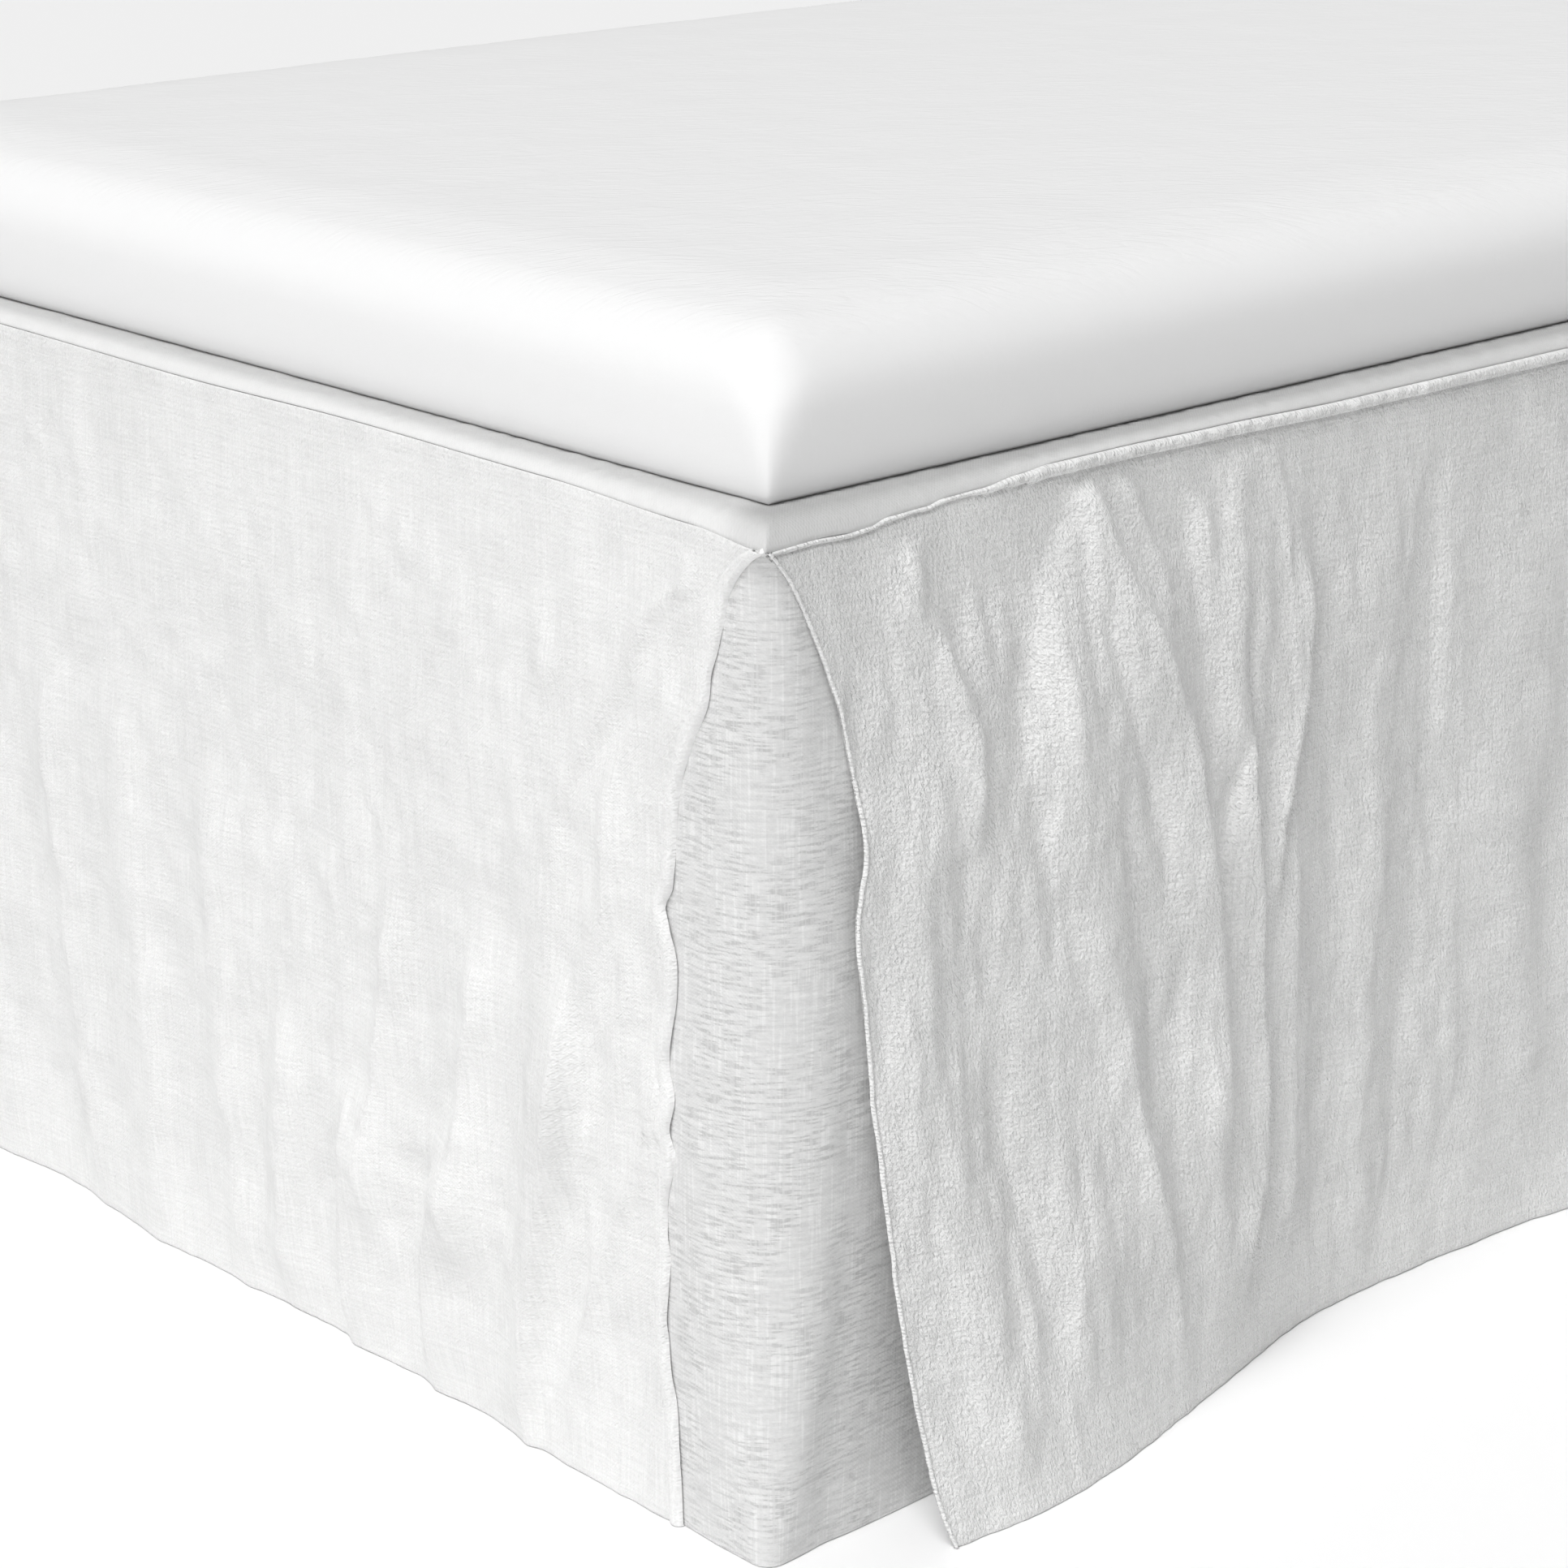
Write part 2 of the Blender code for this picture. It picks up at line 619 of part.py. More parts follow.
def spread_share(share, size, radius):
    """A cube's coordinate, from -1 to 1, taken to a size with its last cuts in the rounding."""
    if abs(share) <= TOPPER_FLAT_SHARE:
        return share / TOPPER_FLAT_SHARE * (size - radius)
    past = (abs(share) - TOPPER_FLAT_SHARE) / (1.0 - TOPPER_FLAT_SHARE)
    return math.copysign(size - radius + past * radius, share)


def soften(place, half, rounds):
    """Moves a point of a box's surface to the box with rounded edges."""
    core = [max(min(p, h - r), r - h) for p, h, r in zip(place, half, rounds)]
    away = Vector([(p - c) / r for p, c, r in zip(place, core, rounds)]).normalized()
    return Vector([c + a * r for c, a, r in zip(core, away, rounds)])


def make_topper(material, collection):
    """The topper: one filled solid with a low crown, soft edges and a flat underside."""
    half = (HALF_WIDTH - TOPPER_INSET, HALF_LENGTH - TOPPER_INSET, TOPPER_DEPTH / 2)
    bm = bmesh.new()
    bmesh.ops.create_cube(bm, size=2.0)
    bmesh.ops.subdivide_edges(bm, edges=bm.edges[:], cuts=TOPPER_CUTS, use_grid_fill=True)
    for vertex in bm.verts:
        edge_round = TOPPER_TOP_ROUND if vertex.co.z > 0.0 else TOPPER_FOOT_ROUND
        rounds = (TOPPER_CORNER, TOPPER_CORNER, edge_round)
        place = soften(list(map(spread_share, vertex.co, half, rounds)), half, rounds)
        share_x, share_y, level = (p / h for p, h in zip(place, half))
        bulge = TOPPER_BULGE * (1.0 - level * level)
        place.x += bulge * share_x ** 5
        place.y += bulge * share_y ** 5
        crown = TOPPER_CROWN * (1.0 - share_x ** 4) * (1.0 - share_y ** 4)
        place.z += crown * max(level, 0.0)
        vertex.co = place
    lift = DECK_TOP + LAYER_GAP + TOPPER_DEPTH / 2
    bmesh.ops.translate(bm, vec=(0.0, BED_MIDDLE_Y, lift), verts=bm.verts)
    bmesh.ops.recalc_face_normals(bm, faces=bm.faces)
    add_part("mattress_topper", bm, material, collection)


def main():
    clear_scene()
    collection = bpy.data.collections.new("bed_skirt")
    bpy.context.scene.collection.children.link(collection)
    materials = make_materials()
    for panel in (foot_panel(), right_panel(), left_panel()):
        make_panel(panel, materials["linen"], collection)
    for side, word in ((1, "right"), (-1, "left")):
        make_gusset(f"{word}_corner_gusset", side, materials["sheer_linen"], collection)
    make_deck(materials["linen"], collection)
    make_base(materials["base_cloth"], collection)
    make_legs(materials["leg_wood"], collection)
    make_topper(materials["sheet_cotton"], collection)


main()
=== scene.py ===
"""Looks of a linen bed skirt with split corners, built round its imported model.

Metres, +Z up, the foot of the bed towards -Y. A place on a hanging panel is an along, from
the panel's own foot corner, and a height above the hem. An outward offset is from the face
of the bed base. Each cloth carries two UV maps in metres. On a panel or gusset "cloth" holds
along and height, and "hem" the distance in from the free edge and down from the top of the
seam. On the deck "cloth" holds the place across and along the bed, and "hem" the distance
in from the base's nearest edge.
"""

import math
import random
from collections import namedtuple

import bmesh
import bpy
from bpy.props import FloatProperty, FloatVectorProperty, PointerProperty
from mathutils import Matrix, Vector, noise


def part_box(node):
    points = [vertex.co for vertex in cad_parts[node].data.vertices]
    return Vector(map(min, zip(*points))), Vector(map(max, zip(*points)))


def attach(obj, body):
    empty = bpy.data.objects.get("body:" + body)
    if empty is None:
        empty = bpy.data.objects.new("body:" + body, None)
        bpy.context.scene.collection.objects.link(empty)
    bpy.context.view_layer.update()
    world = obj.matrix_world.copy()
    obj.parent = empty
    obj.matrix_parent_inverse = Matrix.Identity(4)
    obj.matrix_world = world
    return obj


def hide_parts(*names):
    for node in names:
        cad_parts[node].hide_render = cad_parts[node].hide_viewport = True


bl_info = {
    "name": "Linen Bed Skirt",
    "version": (1, 0, 0),
    "blender": (4, 5, 0),
    "location": "3D View > Sidebar > Bed Skirt",
    "description": "Dresses a bed with a linen skirt that is split at its foot corners",
    "category": "Object",
}

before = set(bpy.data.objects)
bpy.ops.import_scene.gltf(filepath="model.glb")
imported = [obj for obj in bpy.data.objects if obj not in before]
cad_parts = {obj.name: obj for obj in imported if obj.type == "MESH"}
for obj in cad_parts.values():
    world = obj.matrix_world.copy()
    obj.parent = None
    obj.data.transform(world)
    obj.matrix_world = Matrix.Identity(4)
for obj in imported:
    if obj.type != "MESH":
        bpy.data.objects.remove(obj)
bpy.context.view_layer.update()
BODY = "root"

# Read from the frame
BASE_LOW, BASE_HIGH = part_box("bed_base")
TOPPER_LOW, TOPPER_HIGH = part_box("mattress_topper")
LEG_NODES = sorted(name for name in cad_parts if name.startswith("leg_"))
HALF_WIDTH = BASE_HIGH.x
FOOT_Y = BASE_LOW.y
HEAD_Y = BASE_HIGH.y
BED_LENGTH = HEAD_Y - FOOT_Y
DECK_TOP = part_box("skirt_deck")[1].z
FLOOR_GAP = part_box("foot_panel")[0].z
SKIRT_DROP = DECK_TOP - FLOOR_GAP
FREE_HEIGHT = BASE_LOW.z - FLOOR_GAP

# The hems' gap over the floor, and the height over which they ease down to it
HEM_GAP = 0.0006
HEM_EASE = 0.040

# The layers that lie over each other at the base's face, and the spans of the panels
LAYER_GAP = 0.0004
CLOTH_CLEARANCE = 0.0020
GUSSET_CLOTH = 0.0012
PANEL_CLOTH = 0.0015
DECK_CLOTH = 0.0012
GUSSET_OUT = CLOTH_CLEARANCE + GUSSET_CLOTH
PANEL_IN = GUSSET_OUT + LAYER_GAP
PANEL_OUT = PANEL_IN + PANEL_CLOTH
FOOT_SPAN = 2 * (HALF_WIDTH + PANEL_OUT)
SIDE_SPAN = BED_LENGTH + PANEL_OUT

# What a panel's flat drop adds to the hanging one, and the mean cut of a free edge
PANEL_TURNINGS = 0.010
EDGE_CUT_BACK = 0.055

# The seams: on a side, a thin lip that grows into a puckered tube
SEAM_DEPTH = 0.009
SEAM_ZONE = 0.022
LIP_WIDTH = 0.0024
LIP_RISE = 0.0010
TUBE_WIDTH = 0.0070
TUBE_RISE = 0.0018
TUBE_START = 0.120
TUBE_EASE = 0.070

# The deck's rolled edge and the puckers of its strip before the topper
DECK_ROLL = 0.012
DECK_TUCK = 0.002
DECK_TURN = math.radians(82.0)
STRIP_WIDTH = 0.012
PUCKER_RISE = 0.0010

# How far a gusset reaches from the corner, and its part that has the closest columns
GUSSET_REACH = 0.130
GUSSET_CORNER = 0.008

# Roundings and swells of the base and the topper
BASE_ROUNDS = (0.050, 0.050, 0.012)
TOPPER_ROUNDS = (0.030, 0.030, 0.040)
TOPPER_FOOT_ROUNDS = (0.004, 0.004, 0.012)
TOPPER_CROWN = 0.006
TOPPER_SHOULDER = 0.007
TOPPER_BULGE = 0.003

# Distances between the lines of the meshes, and where the deck's are close
GUSSET_STEP = 0.0034
GUSSET_CORNER_STEP = 0.0016
GUSSET_ROW_STEP = 0.0040
DECK_NEAR_STEP = 0.0050
DECK_FAR_STEP = 0.0160
DECK_SIDE_REACH = 0.300
DECK_END_REACH = 0.600
BASE_STEP = 0.040
TOPPER_STEPS = (0.009, 0.011, 0.006)
LEG_SIDES = 48

# The studio: places from the right foot corner, on the floor, and sizes
FOOT_CORNER = (HALF_WIDTH + PANEL_OUT, FOOT_Y - PANEL_OUT)
CAMERA_AWAY = (1.177, -1.077)
CAMERA_HEIGHT = 0.939 + FLOOR_GAP
SOFTBOX_AWAY = Vector((0.750, -1.850, 0.750))
SOFTBOX_TOWARDS = Vector((0.800, -1.950, 0.350))
SOFTBOX_SIZE = 0.9
FLOOR_REACH = 60.0


def table(point, *rows):
    """A table's rows, each as one of its named points."""
    return tuple(point(*row) for row in rows)


# How far below the top of the deck each seam runs, by its distance from the panel's corner
SeamPoint = namedtuple("SeamPoint", "along drop")
FOOT_SEAM = table(
    SeamPoint, (0.000, 0.014), (0.050, 0.010), (0.150, 0.007), (0.300, 0.006), (0.450, 0.008),
    (0.620, 0.007), (0.780, 0.007), (0.860, 0.010), (0.910, 0.014),
)
SIDE_SEAM = table(
    SeamPoint, (0.000, 0.0140), (0.030, 0.0130), (0.050, 0.0138), (0.064, 0.0130),
    (0.075, 0.0105), (0.100, 0.0098), (0.110, 0.0080), (0.136, 0.0075), (0.160, 0.0050),
    (0.180, 0.0035), (0.230, 0.0035), (0.300, 0.0045), (0.400, 0.0065), (0.560, 0.007),
    (0.820, 0.010), (1.150, 0.006), (1.500, 0.011), (1.800, 0.007), (2.010, 0.009),
)

# Where each panel's free edge stands at a foot corner, by its height above the hem
EdgePoint = namedtuple("EdgePoint", "height along")
FOOT_EDGE = table(
    EdgePoint, (0.520, 0.000), (0.507, 0.000), (0.5045, 0.004), (0.501, 0.0095), (0.496, 0.0146),
    (0.488, 0.021), (0.479, 0.026), (0.467, 0.029), (0.455, 0.032), (0.439, 0.037),
    (0.423, 0.040), (0.405, 0.050), (0.396, 0.054), (0.379, 0.060), (0.354, 0.0635),
    (0.329, 0.0655), (0.319, 0.0705), (0.312, 0.068), (0.297, 0.0635), (0.281, 0.063),
    (0.255, 0.067), (0.237, 0.070), (0.222, 0.066), (0.204, 0.069), (0.192, 0.066),
    (0.165, 0.072), (0.135, 0.070), (0.103, 0.072), (0.080, 0.069), (0.055, 0.065),
    (0.025, 0.063), (0.000, 0.062),
)
SIDE_EDGE = table(
    EdgePoint, (0.520, 0.000), (0.507, 0.000), (0.503, 0.004), (0.488, 0.015), (0.464, 0.027),
    (0.423, 0.043), (0.385, 0.053), (0.355, 0.055), (0.314, 0.052), (0.271, 0.057),
    (0.208, 0.063), (0.166, 0.065), (0.103, 0.068), (0.067, 0.071), (0.024, 0.077),
    (0.000, 0.084),
)

# How far the hem swings out from the base, below the base's underside
FlarePoint = namedtuple("FlarePoint", "along out")
FOOT_FLARE = table(
    FlarePoint, (0.000, -0.001), (0.050, 0.001), (0.150, 0.001), (0.195, -0.003), (0.235, -0.004),
    (0.300, -0.003), (0.380, -0.004), (0.500, 0.003), (0.600, -0.003), (0.720, 0.004),
    (0.800, 0.000), (0.910, 0.003),
)
RIGHT_FLARE = table(
    FlarePoint, (0.000, 0.040), (0.090, 0.043), (0.145, 0.046), (0.200, 0.040), (0.260, 0.028),
    (0.330, 0.014), (0.410, 0.001), (0.560, 0.004), (0.700, 0.018), (0.860, 0.006),
    (1.060, 0.022), (1.240, 0.003), (1.430, 0.016), (1.640, 0.002), (1.830, 0.012),
    (2.010, 0.004),
)
LEFT_FLARE = table(
    FlarePoint, (0.000, 0.036), (0.120, 0.045), (0.230, 0.032), (0.370, 0.006), (0.520, 0.002),
    (0.650, 0.014), (0.800, 0.003), (0.980, 0.020), (1.160, 0.004), (1.360, 0.015),
    (1.560, 0.002), (1.770, 0.014), (2.010, 0.003),
)

# How far a panel's cloth swells out under its seam
SwellPoint = namedtuple("SwellPoint", "along out")
FOOT_SWELL = table(
    SwellPoint, (0.000, 0.0000), (0.070, 0.0006), (0.110, 0.0030), (0.300, 0.0042),
    (0.600, 0.0042), (0.800, 0.0030), (0.840, 0.0006), (0.910, 0.0000),
)
SIDE_SWELL = table(
    SwellPoint, (0.000, 0.0008), (0.035, 0.0014), (0.080, 0.0060), (0.130, 0.0105),
    (0.200, 0.0160), (0.270, 0.0150), (0.340, 0.0080), (0.410, 0.0015), (0.520, 0.0055),
    (0.660, 0.0100), (0.900, 0.0080), (1.200, 0.0100), (1.500, 0.0075), (1.800, 0.0095),
    (2.010, 0.0060),
)

# The main folds. A fold's line runs down its path. The cloth rises to it, or sinks where rise
# is negative, over a near width on the foot corner's side and a far width past it.
Fold = namedtuple("Fold", "path near far rise")


def fold_table(*rows):
    """Folds from rows of near, far, rise and then the path's places by (height, along)."""
    return tuple(Fold(table(EdgePoint, *path), near, far, rise) for near, far, rise, *path in rows)


FOOT_FOLDS = fold_table(
    (0.005, 0.007, 0.0030, (0.482, 0.052), (0.460, 0.080), (0.425, 0.100), (0.390, 0.122),
     (0.350, 0.145)),
    (0.006, 0.006, 0.0024, (0.470, 0.050), (0.420, 0.084), (0.370, 0.104), (0.350, 0.108)),
    (0.008, 0.008, 0.0020, (0.450, 0.128), (0.400, 0.160), (0.360, 0.176)),
    (0.006, 0.018, 0.0058, (0.340, 0.099), (0.320, 0.103), (0.285, 0.117), (0.240, 0.132),
     (0.200, 0.138)),
    (0.007, 0.024, 0.0125, (0.220, 0.135), (0.190, 0.140), (0.150, 0.150), (0.110, 0.160),
     (0.055, 0.172), (0.018, 0.179)),
    (0.008, 0.016, 0.0034, (0.300, 0.150), (0.230, 0.156), (0.160, 0.163)),
    (0.014, 0.011, 0.0092, (0.225, 0.208), (0.200, 0.216), (0.160, 0.221), (0.120, 0.228)),
    (0.030, 0.009, 0.0128, (0.120, 0.238), (0.080, 0.252), (0.020, 0.257)),
    (0.014, 0.011, 0.0084, (0.235, 0.278), (0.190, 0.288), (0.150, 0.296), (0.120, 0.302)),
    (0.028, 0.009, 0.0128, (0.112, 0.318), (0.060, 0.326), (0.018, 0.329)),
    (0.024, 0.014, 0.0116, (0.142, 0.372), (0.100, 0.380), (0.035, 0.386)),
    (0.005, 0.006, 0.0032, (0.205, 0.080), (0.160, 0.098), (0.105, 0.120)),
    (0.006, 0.007, 0.0038, (0.110, 0.118), (0.080, 0.130), (0.040, 0.144)),
    (0.006, 0.010, 0.0030, (0.285, 0.093), (0.250, 0.101), (0.200, 0.106)),
    (0.008, 0.008, -0.0024, (0.075, 0.090), (0.015, 0.098)),
    (0.014, 0.014, -0.0024, (0.420, 0.336), (0.350, 0.345), (0.270, 0.351)),
    (0.016, 0.014, 0.0022, (0.360, 0.250), (0.300, 0.258), (0.250, 0.262)),
    (0.024, 0.014, 0.0070, (0.260, 0.440), (0.010, 0.428)),
    (0.016, 0.026, 0.0075, (0.290, 0.520), (0.120, 0.506), (0.010, 0.512)),
    (0.022, 0.014, 0.0080, (0.290, 0.596), (0.010, 0.574)),
    (0.016, 0.020, 0.0060, (0.230, 0.660), (0.030, 0.672)),
    (0.024, 0.012, 0.0080, (0.320, 0.745), (0.150, 0.736), (0.010, 0.722)),
    (0.012, 0.018, 0.0055, (0.270, 0.812), (0.050, 0.806)),
)
RIGHT_FOLDS = fold_table(
    (0.010, 0.008, 0.0013, (0.500, 0.070), (0.450, 0.094)),
    (0.012, 0.007, 0.0068, (0.465, 0.090), (0.430, 0.112), (0.400, 0.122), (0.385, 0.124)),
    (0.024, 0.012, -0.0075, (0.500, 0.184), (0.478, 0.177), (0.450, 0.171), (0.425, 0.165)),
    (0.006, 0.005, -0.0029, (0.505, 0.187), (0.480, 0.200)),
    (0.014, 0.005, -0.0044, (0.385, 0.158), (0.333, 0.168), (0.298, 0.174)),
    (0.022, 0.010, 0.0104, (0.500, 0.206), (0.455, 0.226), (0.437, 0.236), (0.387, 0.257),
     (0.357, 0.270), (0.320, 0.278), (0.280, 0.290), (0.240, 0.296), (0.170, 0.300)),
    (0.007, 0.006, -0.0034, (0.425, 0.213), (0.385, 0.227), (0.345, 0.243), (0.305, 0.256)),
    (0.020, 0.012, -0.0057, (0.470, 0.275), (0.420, 0.284), (0.370, 0.290)),
    (0.018, 0.020, 0.0055, (0.430, 0.178), (0.380, 0.190), (0.330, 0.203), (0.280, 0.208),
     (0.200, 0.216)),
    (0.010, 0.010, -0.0044, (0.325, 0.225), (0.280, 0.236), (0.225, 0.246)),
    (0.016, 0.006, 0.0088, (0.350, 0.318), (0.323, 0.321), (0.297, 0.325), (0.247, 0.332),
     (0.187, 0.338), (0.147, 0.341), (0.105, 0.341), (0.085, 0.330)),
    (0.018, 0.004, 0.0081, (0.400, 0.370), (0.365, 0.368), (0.330, 0.356), (0.295, 0.346)),
    (0.012, 0.004, -0.0042, (0.395, 0.324), (0.363, 0.320), (0.330, 0.308), (0.300, 0.302)),
    (0.012, 0.016, 0.0065, (0.270, 0.362), (0.180, 0.368), (0.100, 0.370)),
    (0.036, 0.020, 0.0081, (0.340, 0.090), (0.250, 0.094), (0.210, 0.102), (0.130, 0.114),
     (0.080, 0.120), (0.050, 0.128)),
    (0.028, 0.016, 0.0057, (0.300, 0.160), (0.250, 0.172), (0.200, 0.186), (0.110, 0.202)),
    (0.010, 0.012, 0.0065, (0.205, 0.224), (0.147, 0.238), (0.107, 0.252), (0.060, 0.264)),
    (0.018, 0.012, 0.0057, (0.160, 0.288), (0.110, 0.300), (0.070, 0.312)),
    (0.010, 0.010, -0.0039, (0.190, 0.140), (0.140, 0.152), (0.090, 0.166)),
    (0.007, 0.003, -0.0018, (0.500, 0.077), (0.470, 0.090), (0.450, 0.100)),
    (0.007, 0.003, -0.0021, (0.500, 0.103), (0.480, 0.117), (0.462, 0.122)),
    (0.008, 0.006, 0.0044, (0.498, 0.233), (0.453, 0.257)),
    (0.008, 0.006, 0.0039, (0.500, 0.267), (0.475, 0.290)),
    (0.006, 0.004, -0.0026, (0.500, 0.215), (0.462, 0.233)),
    (0.006, 0.005, -0.0029, (0.505, 0.285), (0.478, 0.302)),
    (0.010, 0.006, 0.0039, (0.500, 0.340), (0.470, 0.352)),
    (0.014, 0.010, 0.0044, (0.490, 0.318), (0.420, 0.312), (0.370, 0.306)),
)
# How softly the gusset turns the corner, by the height above its hem
RoundPoint = namedtuple("RoundPoint", "height radius")
GUSSET_ROUNDS = table(
    RoundPoint, (0.000, 0.010), (0.060, 0.030), (0.160, 0.048), (0.330, 0.048), (0.430, 0.030),
    (0.520, 0.010),
)
GUSSET_FOLDS = fold_table(
    (0.008, 0.010, -0.0010, (0.470, -0.010), (0.400, -0.018), (0.300, -0.023), (0.220, -0.024)),
    (0.016, 0.016, -0.0008, (0.440, 0.026), (0.300, 0.030)),
    (0.014, 0.014, -0.0010, (0.360, -0.036), (0.240, -0.042)),
    (0.012, 0.014, 0.0016, (0.200, -0.040), (0.030, -0.034)),
    (0.014, 0.014, -0.0012, (0.260, 0.042), (0.000, 0.036)),
)

# How far under its seam the cloth takes to reach its full swell, how far a fold runs on past
# its path, how far from the path's top it is looked for, how deep a trough may be, and the
# power by which the flare grows towards the hem
FULLNESS_REACH = 0.120
FOLD_END = 0.060
FOLD_RANGE = 0.190
DEEPEST_TROUGH = -0.006
FLARE_POWER = 1.4

# The random folds: their pitch, the heights and the lean of their paths, widths and rises
FOLD_PITCH = (0.045, 0.075)
FOLD_TOP = (0.280, 0.490)
FOLD_FOOT = (0.000, 0.060)
FOLD_LEAN = (-0.020, 0.040)
FOLD_WIDTH = (0.010, 0.028)
FOLD_RISE = (0.0035, 0.0065)
TROUGH_SHARE = 0.8
RIGHT_FOLDS_END = 0.430
SIDE_FOLDS = (0.100, 1.960)

# Lines of a panel's mesh: down from the top of its seam, in from a free edge, up from the hem
SEAM_LINES = (
    0.0000, 0.0004, 0.0009, 0.0015, 0.0021, 0.0026, 0.0032, 0.0042, 0.0056, 0.0070, 0.0081,
    0.0087, 0.0093, 0.0100, 0.0112, 0.0130, 0.0155, 0.0185,
)
EDGE_LINES = (
    0.0000, 0.0004, 0.0010, 0.0017, 0.0024, 0.0030, 0.0038, 0.0050, 0.0063, 0.0073, 0.0079,
    0.0085, 0.0096, 0.0115,
)
HEM_LINES = (0.0000, 0.0006, 0.0015, 0.0030)
EDGE_ZONE = 0.0140


# ---------------------------------------------------------------- settings


class SewingSizes(bpy.types.PropertyGroup):
    """Sizes of the cloth's crumple, hems and threads"""

    crumple: FloatProperty(
        name="Crumple", description="Height of the soft waves in the panels' cloth",
        default=0.0031, unit="LENGTH",
    )
    crinkle: FloatProperty(
        name="Crinkle", description="Height of the small crinkles in the panels' cloth",
        default=0.00095, unit="LENGTH",
    )
    bottom_hem: FloatProperty(
        name="Bottom hem", description="Depth of the hem at the floor",
        default=0.036, unit="LENGTH",
    )
    hem_cloth: FloatProperty(
        name="Hem thickness", description="Thickness of the cloth in a hem",
        default=0.0025, unit="LENGTH",
    )
    thread_pitch: FloatProperty(
        name="Thread pitch", description="Distance from one thread of the linen to the next",
        default=0.00085, precision=5, unit="LENGTH",
    )


class FinishColours(bpy.types.PropertyGroup):
    """Colours of the cloths and the wood"""

    linen: FloatVectorProperty(
        name="Linen", description="Colour of the panels and the deck",
        default=(0.885, 0.885, 0.88), subtype="COLOR", min=0.0, max=1.0,
    )
    sheer: FloatVectorProperty(
        name="Sheer linen", description="Colour of the corner gussets",
        default=(0.77, 0.77, 0.767), subtype="COLOR", min=0.0, max=1.0,
    )
    sheet: FloatVectorProperty(
        name="Sheet", description="Colour of the cotton on the topper",
        default=(0.91, 0.91, 0.91), subtype="COLOR", min=0.0, max=1.0,
    )
    base: FloatVectorProperty(
        name="Base cloth", description="Colour of the cloth on the bed base",
        default=(0.62, 0.61, 0.59), subtype="COLOR", min=0.0, max=1.0,
    )
    wood: FloatVectorProperty(
        name="Leg wood", description="Colour of the legs",
        default=(0.55, 0.37, 0.21), subtype="COLOR", min=0.0, max=1.0,
    )


class StudioSettings(bpy.types.PropertyGroup):
    """Camera, floor and light"""

    lens: FloatProperty(
        name="Lens", description="Focal length on a 36 mm frame", default=86.19,
    )
    pitch: FloatProperty(
        name="Camera pitch", description="How far the camera looks down",
        default=math.radians(18.68), subtype="ANGLE",
    )
    heading: FloatProperty(
        name="Camera heading", description="How far the camera turns from the bed's length",
        default=math.radians(47.25), subtype="ANGLE",
    )
    key: FloatProperty(
        name="Key light", description="Strength of the large soft light", default=2.2,
    )
    key_turn: FloatProperty(
        name="Key turn", description="Turn of the key light from the foot towards the right",
        default=math.radians(22.0), subtype="ANGLE",
    )
    key_height: FloatProperty(
        name="Key height", description="Height of the key light above the horizon",
        default=math.radians(60.0), subtype="ANGLE",
    )
    key_spread: FloatProperty(
        name="Key spread", description="Angular size of the key light",
        default=math.radians(30.0), subtype="ANGLE",
    )
    softbox: FloatProperty(
        name="Softbox", description="Strength of the softbox before the foot corner", default=5.0,
    )
    horizon: FloatProperty(
        name="Horizon", description="Brightness of the room at the horizon", default=0.0,
    )
    ceiling: FloatProperty(
        name="Ceiling", description="Brightness that the room gains overhead", default=0.66,
    )
    floor: FloatVectorProperty(
        name="Floor", description="Colour of the floor",
        default=(0.95, 0.95, 0.95), subtype="COLOR", min=0.0, max=1.0,
    )


def settings():
    """The bed skirt's settings in this scene."""
    return bpy.context.scene.bed_skirt


class BedSkirtSettings(bpy.types.PropertyGroup):
    """All that a user would change"""

    sewing: PointerProperty(type=SewingSizes)
    colours: PointerProperty(type=FinishColours)
    studio: PointerProperty(type=StudioSettings)


# ---------------------------------------------------------------- shader maths


class Field:
    """A value or colour that varies over a surface, as the socket that gives it"""

    def __init__(self, shader, socket):
        self.shader = shader
        self.socket = socket

    def math(self, operation, *values):
        """The result of one of Blender's operations on up to three values."""
        inputs = dict(enumerate(values))
        return self.shader.node("ShaderNodeMath", {"operation": operation}, inputs)

    def __add__(self, other):
        return self.math("ADD", self, other)

    def __radd__(self, other):
        return self.math("ADD", other, self)

    def __sub__(self, other):
        return self.math("SUBTRACT", self, other)

    def __rsub__(self, other):
        return self.math("SUBTRACT", other, self)

    def __mul__(self, other):
        return self.math("MULTIPLY", self, other)

    def sine(self):
        return self.math("SINE", self)

    def size(self):
        """The value without its sign."""
        return self.math("ABSOLUTE", self)

    def rise(self, low, high):
        """0 below low, 1 above high, and smooth between."""
        inputs = {"Value": self, "From Min": low, "From Max": high}
        options = {"interpolation_type": "SMOOTHSTEP"}
        return self.shader.node("ShaderNodeMapRange", options, inputs)


